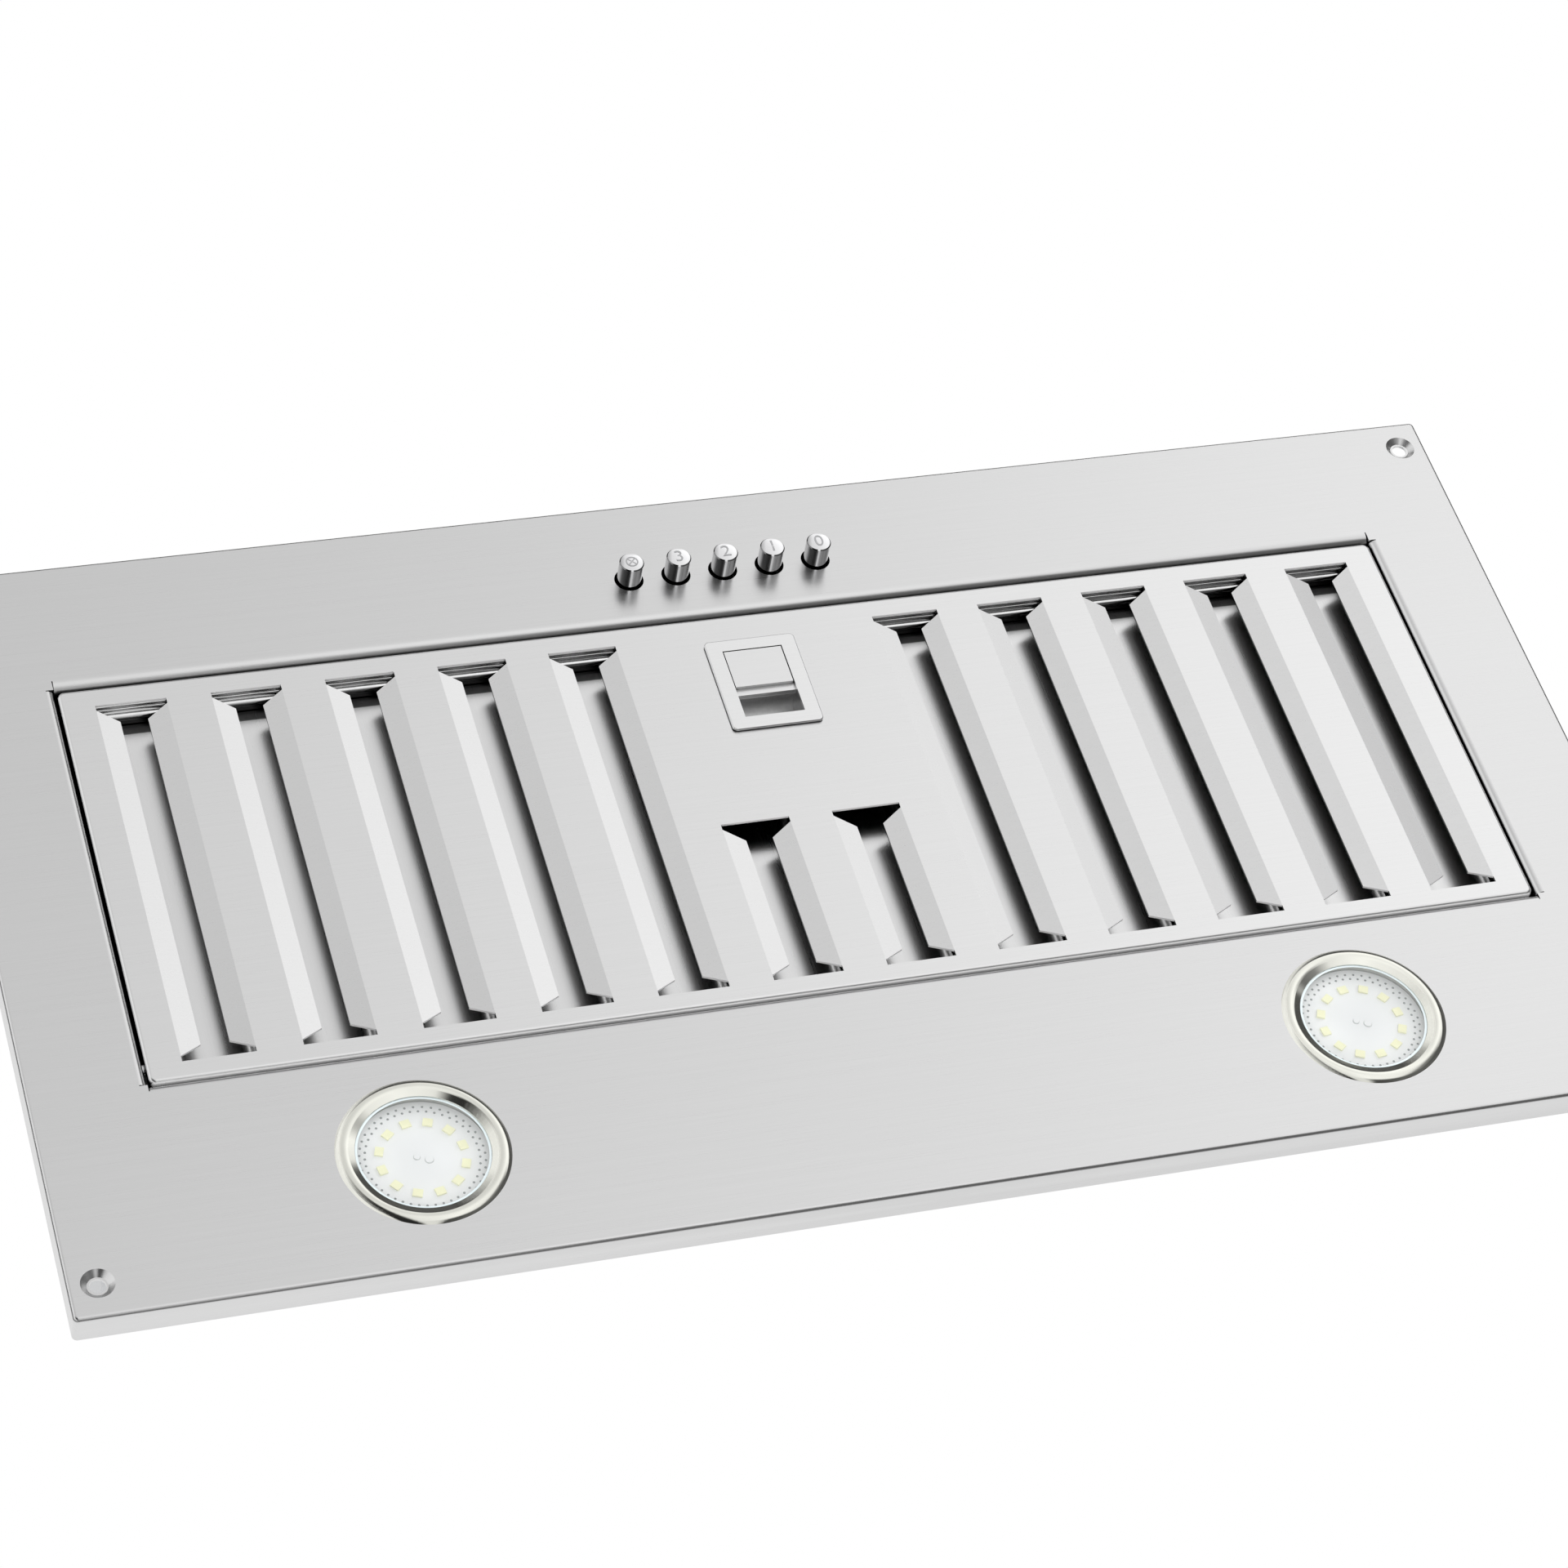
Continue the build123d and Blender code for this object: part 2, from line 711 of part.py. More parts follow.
with BuildPart() as latch_case:
    with BuildSketch(Plane.XY.offset(filter_back_z)):
        with Locations((0, (case_front + case_rear) / 2)):
            Rectangle(2 * case_half, case_rear - case_front)
    extrude(amount=latch_case_depth)
    inner_half = case_half - latch_case_wall
    with BuildSketch(Plane.XY.offset(filter_back_z)):
        with Locations((0, (case_front + latch_case_wall + case_rear - latch_case_wall) / 2)):
            Rectangle(2 * inner_half, case_rear - case_front - 2 * latch_case_wall)
    extrude(amount=ledge_z - filter_back_z, mode=Mode.SUBTRACT)
    with BuildSketch(Plane.XY.offset(filter_back_z)):
        chamber_front = case_front + latch_case_wall
        with Locations((0, (chamber_front + partition_y) / 2)):
            Rectangle(2 * (inner_half - latch_ledge), partition_y - chamber_front)
    extrude(amount=latch_case_depth - latch_case_wall, mode=Mode.SUBTRACT)
    with BuildSketch(Plane.YZ):
        recess_front = partition_y + latch_case_wall
        recess_roof = case_roof - latch_case_wall
        with BuildLine():
            Polyline(
                (recess_front, recess_roof - recess_curve),
                (recess_front, filter_back_z),
                (window_rear, filter_back_z),
                (window_rear, recess_roof),
                (recess_front + recess_curve, recess_roof),
            )
            CenterArc((recess_front + recess_curve, recess_roof - recess_curve), recess_curve, 90, 90)
        make_face()
    extrude(amount=inner_half - recess_ledge, both=True, mode=Mode.SUBTRACT)
    with BuildSketch(Plane.XZ.offset(-case_front)):
        with Locations((0, bolt_z)):
            Rectangle(bolt_width + 2 * bolt_clearance, bolt_thickness + 2 * bolt_clearance)
    extrude(amount=-2 * latch_case_wall, mode=Mode.SUBTRACT)
finish(latch_case, "latch_case")

# Latch slider: finger plate with a rolled lip, web and bolt
web_front = window_front
web_top = bolt_z + latch_spring_diameter
pad_front = window_front + slider_pad_gap
pad_rear = slider_rear - 2 * slider_lip_radius
pad_face = filter_face_z - latch_proud + slider_pad_recess

with BuildPart() as latch_slider:
    with BuildSketch(Plane.XY.offset(slider_z)):
        with Locations((0, (window_front - slider_side_lap + slider_slack + slider_rear) / 2)):
            Rectangle(2 * slider_half, slider_rear - window_front + slider_side_lap - slider_slack)
    extrude(amount=slider_sheet)
    with BuildSketch(Plane.XY.offset(slider_z)):
        with Locations((0, (pad_front + pad_rear) / 2)):
            Rectangle(latch_window_width - 2 * slider_pad_gap, pad_rear - pad_front)
    extrude(amount=pad_face - slider_z)
    with BuildSketch(Plane.YZ.offset(-latch_window_width / 2)):
        with Locations((slider_rear - slider_lip_radius, slider_z + slider_lip_radius)):
            Circle(slider_lip_radius)
    extrude(amount=latch_window_width)
    with BuildSketch(Plane.XZ.offset(-web_front)):
        with Locations((0, (slider_z + web_top) / 2)):
            Rectangle(bolt_width, web_top - slider_z)
    extrude(amount=-slider_web)
    with BuildSketch(Plane.XZ.offset(-bolt_tip)):
        with Locations((0, bolt_z)):
            Rectangle(bolt_width, bolt_thickness)
    extrude(amount=-(web_front - bolt_tip))
finish(latch_slider, "latch_slider")

# Latch spring, between the slider's web and the case's partition
latch_spring_start = web_front + slider_web
latch_spring_z = bolt_z + latch_spring_diameter / 2 - bolt_thickness / 2
latch_spring_place = Plane((0, latch_spring_start, latch_spring_z), (1, 0, 0), (0, 1, 0))
latch_coil = coil_spring(
    latch_spring_diameter,
    latch_spring_wire,
    latch_spring_turns,
    partition_y - latch_spring_start,
)
with BuildPart() as latch_spring:
    add(latch_spring_place.location * latch_coil)
finish(latch_spring, "latch_spring")

# Push buttons: domed cap, stem and collar in one turned piece
button_tip = plate_face - button_proud
cap_top = plate_back + button_cap_inside
collar_foot = bracket_top + running_clearance
collar_top = collar_foot + stem_collar_height
stem_top = chamber_roof + switch_guide_depth - button_travel - running_clearance
cap_radius = button_diameter / 2
stem_radius = stem_diameter / 2

for name, (x, y) in zip(button_names, button_points):
    with BuildPart() as button:
        with BuildSketch(upright_section(x, y)):
            with BuildLine():
                bevel_radius = cap_radius - button_bevel
                bevel_top = button_tip + button_crown
                ThreePointArc(
                    (0, button_tip),
                    (bevel_radius / 2, button_tip + button_crown / 4),
                    (bevel_radius, bevel_top),
                )
                Polyline(
                    (bevel_radius, bevel_top),
                    (cap_radius, bevel_top + button_bevel),
                    (cap_radius, cap_top),
                    (stem_radius, cap_top),
                    (stem_radius, collar_foot),
                    (stem_collar_diameter / 2, collar_foot),
                    (stem_collar_diameter / 2, collar_top),
                    (stem_radius, collar_top),
                    (stem_radius, stem_top),
                    (0, stem_top),
                    (0, button_tip),
                )
            make_face()
        revolve(axis=upright_axis(x, y))
    finish(button, f"button_{name}")

# Switch bracket: a bridge on the back of the face plate, with the stems' guide holes
bracket_half = switch_half + switch_sheet
with BuildPart() as switch_bracket:
    with BuildSketch(Plane.XZ.offset(-(button_y - switch_depth / 2))):
        with BuildLine():
            Polyline(
                (-bracket_half - bracket_foot, plate_back),
                (-bracket_half + switch_sheet, plate_back),
                (-bracket_half + switch_sheet, bracket_under),
                (bracket_half - switch_sheet, bracket_under),
                (bracket_half - switch_sheet, plate_back),
                (bracket_half + bracket_foot, plate_back),
                (bracket_half + bracket_foot, plate_back + switch_sheet),
                (bracket_half, plate_back + switch_sheet),
                (bracket_half, bracket_top),
                (-bracket_half, bracket_top),
                (-bracket_half, plate_back + switch_sheet),
                (-bracket_half - bracket_foot, plate_back + switch_sheet),
                close=True,
            )
        make_face()
    extrude(amount=-switch_depth)
    with BuildSketch(Plane.XY.offset(bracket_under)):
        with Locations(*button_points):
            Circle(stem_radius + running_clearance)
    extrude(amount=switch_sheet, mode=Mode.SUBTRACT)
finish(switch_bracket, "switch_bracket")

# Switch body: five spring chambers with guides above them
with BuildPart() as switch_body:
    with BuildSketch(Plane.XY.offset(bracket_top)):
        with Locations((0, button_y)):
            Rectangle(2 * switch_half, switch_depth)
    extrude(amount=switch_top - bracket_top)
    with BuildSketch(Plane.XY.offset(bracket_top)):
        with Locations(*button_points):
            Circle(switch_chamber_diameter / 2)
    extrude(amount=switch_chamber_depth, mode=Mode.SUBTRACT)
    with BuildSketch(Plane.XY.offset(chamber_roof)):
        with Locations(*button_points):
            Circle(stem_radius + running_clearance)
    extrude(amount=switch_guide_depth, mode=Mode.SUBTRACT)
finish(switch_body, "switch_body")

# Return springs, one round each stem
button_coil = coil_spring(
    button_spring_diameter,
    button_spring_wire,
    button_spring_turns,
    chamber_roof - collar_top,
)
with BuildPart() as switch_springs:
    for x, y in button_points:
        add(Pos(x, y, collar_top) * button_coil)
finish(switch_springs, "switch_springs")

# Lamps: bezel, glass, can and board on each side
skirt_radius = bezel_skirt_diameter / 2
skirt_bore = skirt_radius - bezel_skirt_wall
glass_radius = skirt_bore - seat_clearance
can_bore = can_radius - can_wall
board_radius = can_bore - seat_clearance
board_back = board_face + board_thickness

for side, x, turn in lamp_sides:
    with BuildPart() as lamp_bezel:
        with BuildSketch(upright_section(x, lamp_y)):
            with BuildLine():
                ThreePointArc(
                    (bezel_diameter / 2, plate_face),
                    (bezel_crest, plate_face - bezel_proud),
                    (slope_radius, slope_z),
                )
                Polyline(
                    (slope_radius, slope_z),
                    (lip_radius, lip_z),
                    (lip_radius, glass_z),
                    (skirt_bore, glass_z),
                    (skirt_bore, plate_face + bezel_skirt_height),
                    (skirt_radius, plate_face + bezel_skirt_height),
                    (skirt_radius, plate_face),
                    (bezel_diameter / 2, plate_face),
                )
            make_face()
        revolve(axis=upright_axis(x, lamp_y))
    finish(lamp_bezel, f"{side}_lamp_bezel")

    with BuildPart() as lamp_glass:
        with BuildSketch(Plane.XY.offset(glass_z)):
            with Locations((x, lamp_y)):
                Circle(glass_radius)
        extrude(amount=glass_thickness)
    finish(lamp_glass, f"{side}_lamp_glass")

    with BuildPart() as lamp_can:
        with BuildSketch(upright_section(x, lamp_y)):
            outline(
                (can_radius, can_base),
                (can_radius, can_base + can_height),
                (0, can_base + can_height),
                (0, can_base + can_height - can_roof),
                (can_bore - can_wall, can_base + can_height - can_roof),
                (can_bore - can_wall, board_back),
                (can_bore, board_back),
                (can_bore, can_base),
            )
        revolve(axis=upright_axis(x, lamp_y))
    finish(lamp_can, f"{side}_lamp_can")

    with BuildPart() as lamp_board:
        with BuildSketch(Plane.XY.offset(board_face)):
            with Locations((x, lamp_y)):
                Circle(board_radius)
        extrude(amount=board_thickness)
    finish(lamp_board, f"{side}_lamp_board")

    with BuildPart() as lamp_leds:
        with BuildSketch(Plane.XY.offset(board_face)):
            with Locations((x, lamp_y)):
                with PolarLocations(led_ring_diameter / 2, led_count, turn):
                    Rectangle(led_width, led_length)
        extrude(amount=-led_height)
    finish(lamp_leds, f"{side}_lamp_leds")

# Spring clips that hold the lamps against the face plate, two to a lamp
with BuildPart() as lamp_clips:
    for _, x, _ in lamp_sides:
        for side in (-1, 1):
            foot = skirt_radius + clip_spread
            top = plate_back + clip_rise
            with BuildSketch(Plane.XZ.offset(-(lamp_y - clip_width / 2))):
                outline(
                    (x + side * skirt_radius, top),
                    (x + side * (skirt_radius + clip_sheet), top),
                    (x + side * (skirt_radius + clip_sheet), top - clip_rise / 2),
                    (x + side * (foot + clip_sheet), plate_back),
                    (x + side * foot, plate_back),
                    (x + side * skirt_radius, top - clip_rise / 2 - clip_sheet),
                )
            extrude(amount=-clip_width)
finish(lamp_clips, "lamp_clips")

# Body wrapper: feet on the face plate, front, top and rear in one folded sheet
stud_rows = (body_front - body_foot / 2, body_rear + body_foot / 2)
stud_points = [
    ((index - (stud_count - 1) / 2) * stud_spacing, row)
    for index in range(stud_count)
    for row in stud_rows
]
side_screw_x = body_side - end_flange / 2
side_screw_points = [
    (sx * side_screw_x, plate_back + rise)
    for sx in (-1, 1)
    for rise in (body_screw_low, body_screw_high)
]
top_screw_points = [
    (sx * side_screw_x, body_offset + sy * body_screw_top)
    for sx in (-1, 1)
    for sy in (-1, 1)
]
screw_bore = body_screw_diameter / 2 + screw_clearance
collar_screw_radius = collar_screw_circle / 2
collar_screw_angles = [2 * pi / collar_screw_count * (i + 0.5) for i in range(collar_screw_count)]
collar_screw_points = [
    (collar_screw_radius * cos(angle), collar_offset + collar_screw_radius * sin(angle))
    for angle in collar_screw_angles
]

with BuildPart() as body_wrapper:
    with BuildSketch(Plane.YZ.offset(-body_side)):
        with BuildLine():
            FilletPolyline(
                (body_front - body_foot, plate_back),
                (body_front + body_sheet, plate_back),
                (body_front + body_sheet, body_roof),
                (body_rear - body_sheet, body_roof),
                (body_rear - body_sheet, plate_back),
                (body_rear + body_foot, plate_back),
                radius=(body_foot_fold, body_top_fold, body_top_fold, body_foot_fold),
            )
            offset(amount=body_sheet, side=Side.LEFT)
        make_face()
    extrude(amount=body_width)
    with BuildSketch(Plane.XZ.offset(-body_rear)):
        with Locations(*side_screw_points):
            Circle(screw_bore)
    extrude(amount=body_depth, mode=Mode.SUBTRACT)
    with BuildSketch(Plane.XY.offset(body_roof)):
        with Locations(*top_screw_points):
            Circle(screw_bore)
        with Locations((0, collar_offset)):
            Rectangle(2 * fan_half_width, outlet_width - 2 * fan_sheet)
        with Locations(*collar_screw_points):
            Circle(screw_bore)
        with Locations((terminal_x, terminal_y)):
            Circle(cable_hole_diameter / 2)
    extrude(amount=body_sheet, mode=Mode.SUBTRACT)
    with BuildSketch(Plane.XY.offset(plate_back)):
        with Locations(*stud_points):
            Circle(stud_diameter / 2 + screw_clearance)
    extrude(amount=body_sheet, mode=Mode.SUBTRACT)
finish(body_wrapper, "body_wrapper")

# End panels: shallow pans inside the wrapper's ends
for side, name in ((-1, "left"), (1, "right")):
    with BuildPart() as end_panel:
        with BuildSketch(Plane.YZ.offset(side * body_side)):
            with Locations((body_offset, (plate_back + body_roof) / 2)):
                Rectangle(body_depth - 2 * body_sheet, body_roof - plate_back)
        extrude(amount=-side * end_flange)
        fillet(end_panel.edges().filter_by(Axis.X).group_by(Axis.Z)[-1], body_top_fold)
        open_side = end_panel.faces().sort_by(Axis.X)[-1 if side < 0 else 0]
        offset(amount=-body_sheet, openings=open_side)
        with BuildSketch(Plane.XZ.offset(-body_rear)):
            with Locations(*side_screw_points):
                Circle(screw_bore)
        extrude(amount=body_depth, mode=Mode.SUBTRACT)
        with BuildSketch(Plane.XY.offset(body_roof)):
            with Locations(*top_screw_points):
                Circle(screw_bore)
        extrude(amount=-2 * body_sheet, mode=Mode.SUBTRACT)
    finish(end_panel, f"{name}_end_panel")

# Screws that join the wrapper to the end panels
with BuildPart() as body_screws:
    for x, z in side_screw_points:
        for wall, side in ((body_front, -1), (body_rear, 1)):
            place = Plane((x, wall, z), (1, 0, 0), (0, side, 0)).location
            pan_screw(place, body_screw_diameter, body_screw_length)
    for x, y in top_screw_points:
        pan_screw(Location((x, y, body_top)), body_screw_diameter, body_screw_length)
finish(body_screws, "body_screws")

# Studs welded to the back of the face plate, and the nuts that hold the wrapper's feet down
with BuildPart() as plate_studs:
    with BuildSketch(Plane.XY.offset(plate_back)):
        with Locations(*stud_points):
            Circle(stud_diameter / 2)
    extrude(amount=stud_height)
finish(plate_studs, "plate_studs")

with BuildPart() as plate_nuts:
    with BuildSketch(Plane.XY.offset(plate_back + body_sheet)):
        with Locations(*stud_points):
            RegularPolygon(nut_across_flats / 2, 6, major_radius=False)
            Circle(stud_diameter / 2 + screw_clearance, mode=Mode.SUBTRACT)
    extrude(amount=nut_height)
finish(plate_nuts, "plate_nuts")

# Duct collar with the ledge that the closed flaps lie on
with BuildPart() as duct_collar:
    ledge_radius = collar_bore - collar_ledge_width
    ledge_low = body_top + collar_ledge_rise
    ledge_high = ledge_low + collar_ledge_thickness
    flange_top = body_top + collar_flange_thickness
    with BuildSketch(upright_section(0, collar_offset)):
        outline(
            (collar_bore, body_top),
            (collar_flange_diameter / 2, body_top),
            (collar_flange_diameter / 2, flange_top),
            (collar_radius, flange_top),
            (collar_radius, body_top + collar_height),
            (collar_bore, body_top + collar_height),
            (collar_bore, ledge_high),
            (ledge_radius, ledge_high),
            (ledge_radius, ledge_low),
            (collar_bore, ledge_low),
        )
    revolve(axis=upright_axis(0, collar_offset))
    with BuildSketch(Plane.XY.offset(body_top)):
        with Locations(*collar_screw_points):
            Circle(screw_bore)
    extrude(amount=collar_flange_thickness, mode=Mode.SUBTRACT)
    with BuildSketch(Plane.XZ.offset(-collar_offset)):
        with Locations((0, rod_z)):
            Circle(damper_rod_diameter / 2 + screw_clearance)
    extrude(amount=collar_radius, both=True, mode=Mode.SUBTRACT)
finish(duct_collar, "duct_collar")

with BuildPart() as collar_screws:
    for x, y in collar_screw_points:
        pan_screw(Location((x, y, flange_top)), body_screw_diameter, body_screw_length)
finish(collar_screws, "collar_screws")

with BuildPart() as damper_rod:
    with BuildSketch(Plane.XZ.offset(-collar_offset)):
        with Locations((0, rod_z)):
            Circle(damper_rod_diameter / 2)
    extrude(amount=collar_radius - damper_rod_recess, both=True)
finish(damper_rod, "damper_rod")

# Damper flaps: half discs with hinge barrels that take turns along the rod
barrel_slots = [(index - 1.5) * hinge_barrel_pitch for index in range(4)]
flap_radius = collar_bore - flap_clearance

for side, name, barrels in ((-1, "left", barrel_slots[0::2]), (1, "right", barrel_slots[1::2])):
    with BuildPart() as damper_flap:
        with BuildSketch(Plane.XY.offset(rod_z - flap_thickness / 2)):
            with Locations((0, collar_offset)):
                Circle(flap_radius)
            with Locations((side * (flap_edge_gap + flap_radius), collar_offset)):
                Rectangle(2 * flap_radius, 2 * flap_radius, mode=Mode.INTERSECT)
            with Locations(*[(side * flap_edge_gap, collar_offset + along) for along in barrels]):
                Rectangle(2 * flap_edge_gap, hinge_barrel_length)
        extrude(amount=flap_thickness)
        for along in barrels:
            with BuildSketch(Plane.XZ.offset(-(collar_offset + along))):
                with Locations((0, rod_z)):
                    Circle(hinge_barrel_diameter / 2)
            extrude(amount=hinge_barrel_length / 2, both=True)
        with BuildSketch(Plane.XZ.offset(-collar_offset)):
            with Locations((0, rod_z)):
                Circle(damper_rod_diameter / 2 + running_clearance)
        extrude(amount=flap_radius, both=True, mode=Mode.SUBTRACT)
    finish(damper_flap, f"damper_flap_{name}")


# Scroll outline across the shaft, open-topped at the roof of the body
far_wall = fan_y - volute_radius - 3 * volute_step
near_wall = fan_y - tongue_offset

with BuildSketch() as volute:
    with BuildLine():
        CenterArc((fan_y, fan_z), volute_radius, 0, 90)
        CenterArc((fan_y - volute_step, fan_z), volute_radius + volute_step, 270, 90)
        CenterArc((fan_y - volute_step, fan_z + volute_step), volute_radius + 2 * volute_step, 180, 90)
        Polyline(
            (far_wall, fan_z + volute_step),
            (far_wall, body_roof),
            (near_wall, body_roof),
            (near_wall, fan_z + volute_radius + tongue_rise),
            (fan_y, fan_z + volute_radius),
        )
    make_face()

# Blower scroll
with BuildPart() as blower_scroll:
    with BuildSketch(Plane.YZ.offset(-fan_half_width)):
        add(volute.sketch)
        offset(amount=-fan_sheet, kind=Kind.INTERSECTION, mode=Mode.SUBTRACT)
        with Locations((collar_offset, body_roof)):
            Rectangle(outlet_width - 2 * fan_sheet, 2 * fan_sheet, mode=Mode.SUBTRACT)
    extrude(amount=2 * fan_half_width)
finish(blower_scroll, "blower_scroll")

arm_angles = [90 + 360 / motor_arm_count * index for index in range(motor_arm_count)]
arm_radius = motor_arm_circle / 2
arm_points = [
    (fan_y + arm_radius * cos(radians(angle)), fan_z + arm_radius * sin(radians(angle)))
    for angle in arm_angles
]

for side, name in ((-1, "left"), (1, "right")):
    with BuildPart() as scroll_side:
        with BuildSketch(Plane.YZ.offset(side * fan_half_width)):
            add(volute.sketch)
            with Locations((fan_y, fan_z)):
                Circle(inlet_diameter / 2, mode=Mode.SUBTRACT)
            if side < 0:
                with Locations(*arm_points):
                    Circle(screw_bore, mode=Mode.SUBTRACT)
        extrude(amount=side * fan_sheet)
        with BuildSketch(Plane.YZ.offset(side * fan_side)):
            with Locations((fan_y, fan_z)):
                Circle(inlet_diameter / 2 + fan_sheet)
                Circle(inlet_diameter / 2, mode=Mode.SUBTRACT)
        extrude(amount=-side * (fan_sheet + inlet_lip))
        with BuildSketch(Plane.XY.offset(body_roof)):
            with Locations((side * (fan_side + outlet_flange / 2), collar_offset)):
                Rectangle(outlet_flange, outlet_width)
        extrude(amount=-fan_sheet)
    finish(scroll_side, f"scroll_side_{name}")

# Impeller: forward-curved blades between two rings and a middle disc
blade_inner = impeller_bore / 2
blade_outer = impeller_diameter / 2
blade_root = Vector(blade_inner, 0)
blade_tip = Vector(blade_outer * cos(radians(blade_lean)), blade_outer * sin(radians(blade_lean)))
blade_chord = blade_tip - blade_root
blade_step = Vector(-blade_chord.Y, blade_chord.X) / blade_chord.length * blade_thickness

with BuildSketch() as blade:
    with BuildLine():
        SagittaArc(blade_root, blade_tip, blade_bow)
        Line(blade_tip, blade_tip + blade_step)
        SagittaArc(blade_root + blade_step, blade_tip + blade_step, blade_bow)
        Line(blade_root + blade_step, blade_root)
    make_face()

with BuildPart() as impeller:
    with BuildSketch(Plane((-impeller_width / 2, fan_y, fan_z), (0, 1, 0), (1, 0, 0))):
        with PolarLocations(0, blade_count):
            add(blade.sketch)
    extrude(amount=impeller_width)
    for ring_x in (-impeller_width / 2, impeller_width / 2 - impeller_ring):
        with BuildSketch(Plane.YZ.offset(ring_x)):
            with Locations((fan_y, fan_z)):
                Circle(blade_outer + impeller_ring / 2)
                Circle(blade_inner, mode=Mode.SUBTRACT)
        extrude(amount=impeller_ring)
    with BuildSketch(Plane.YZ):
        with Locations((fan_y, fan_z)):
            Circle(blade_outer)
    extrude(amount=impeller_disc)
    with BuildSketch(Plane.YZ.offset(-hub_back)):
        with Locations((fan_y, fan_z)):
            Circle(hub_diameter / 2)
    extrude(amount=hub_back + hub_front)
    with BuildSketch(Plane.YZ.offset(-hub_back)):
        with Locations((fan_y, fan_z)):
            Circle(shaft_diameter / 2 + bearing_fit)
    extrude(amount=hub_back + hub_front, mode=Mode.SUBTRACT)
finish(impeller, "impeller")


def shaft_tube(start, end, outer, inner):
    """Round piece about the shaft from one X to another, hollow where inner isn't zero."""
    with BuildSketch(Plane.YZ.offset(start)) as ring:
        with Locations((fan_y, fan_z)):
            Circle(outer)
            if inner > 0:
                Circle(inner, mode=Mode.SUBTRACT)
    extrude(ring.sketch, amount=end - start)


bearing_seat = bearing_diameter / 2
boss_radius = bearing_seat + bearing_boss_wall
boss_depth = bearing_width + motor_wall
bracket_out = bracket_x - motor_bracket_sheet
shaft_radius = shaft_diameter / 2

with BuildPart() as motor_shaft:
    shaft_tube(bracket_out - boss_depth - shaft_overhang, hub_front + shaft_overhang, shaft_radius, 0)
finish(motor_shaft, "motor_shaft")

with BuildPart() as impeller_clip:
    clip_end = hub_front + clip_ring_thickness
    shaft_tube(hub_front, clip_end, clip_ring_diameter / 2, shaft_radius + bearing_fit)
finish(impeller_clip, "impeller_clip")

stator_start = bracket_x + (motor_length - stator_length) / 2
with BuildPart() as motor_rotor:
    rotor_radius = stator_bore / 2 - rotor_gap
    shaft_tube(stator_start, stator_start + stator_length, rotor_radius, shaft_radius + bearing_fit)
finish(motor_rotor, "motor_rotor")

with BuildPart() as motor_stator:
    stator_radius = motor_diameter / 2 - motor_wall - stator_clearance
    shaft_tube(stator_start, stator_start + stator_length, stator_radius, stator_bore / 2)
finish(motor_stator, "motor_stator")

# Motor can: open at the bracket, with a bearing boss at the impeller's end
with BuildPart() as motor_can:
    shaft_tube(bracket_x, motor_end, motor_diameter / 2, motor_diameter / 2 - motor_wall)
    shaft_tube(motor_end - motor_wall, motor_end, motor_diameter / 2, bearing_seat)
    shaft_tube(motor_end - boss_depth, motor_end, boss_radius, bearing_seat)
finish(motor_can, "motor_can")

with BuildPart() as motor_bearings:
    shaft_tube(motor_end - bearing_width, motor_end, bearing_seat, shaft_radius + bearing_fit)
    shaft_tube(bracket_out - boss_depth, bracket_out - motor_wall, bearing_seat, shaft_radius + bearing_fit)
finish(motor_bearings, "motor_bearings")

# Motor bracket: a spider with a bearing boss, standing on three rubber bushes
with BuildPart() as motor_bracket:
    with BuildSketch(Plane.YZ.offset(bracket_out)):
        with Locations((fan_y, fan_z)):
            Circle(motor_diameter / 2)
            for angle in arm_angles:
                with PolarLocations(arm_radius / 2, 1, angle):
                    Rectangle(arm_radius, motor_arm_width)
        with Locations(*arm_points):
            Circle(motor_arm_width / 2)
            Circle(screw_bore, mode=Mode.SUBTRACT)
        with Locations((fan_y, fan_z)):
            Circle(bearing_seat, mode=Mode.SUBTRACT)
    extrude(amount=motor_bracket_sheet)
    shaft_tube(bracket_out - boss_depth, bracket_out, boss_radius, bearing_seat)
finish(motor_bracket, "motor_bracket")

with BuildPart() as motor_bushes:
    with BuildSketch(Plane.YZ.offset(bracket_x)):
        with Locations(*arm_points):
            Circle(bush_diameter / 2)
            Circle(screw_bore, mode=Mode.SUBTRACT)
    extrude(amount=bush_height)
finish(motor_bushes, "motor_bushes")

with BuildPart() as motor_screws:
    screw_length = motor_bracket_sheet + bush_height + fan_sheet + motor_screw_tail
    for y, z in arm_points:
        place = Plane((bracket_out, y, z), (0, 1, 0), (-1, 0, 0)).location
        pan_screw(place, body_screw_diameter, screw_length)
finish(motor_screws, "motor_screws")

# Run capacitor under the roof, in its strap
capacitor_z = body_roof - capacitor_strap - capacitor_diameter / 2
capacitor_radius = capacitor_diameter / 2
strap_radius = capacitor_radius + capacitor_strap

with BuildPart() as run_capacitor:
    with BuildSketch(Plane.YZ.offset(capacitor_x - capacitor_length / 2)):
        with Locations((capacitor_y, capacitor_z)):
            Circle(capacitor_radius)
    extrude(amount=capacitor_length)
    fillet(run_capacitor.edges(), capacitor_strap)
finish(run_capacitor, "run_capacitor")

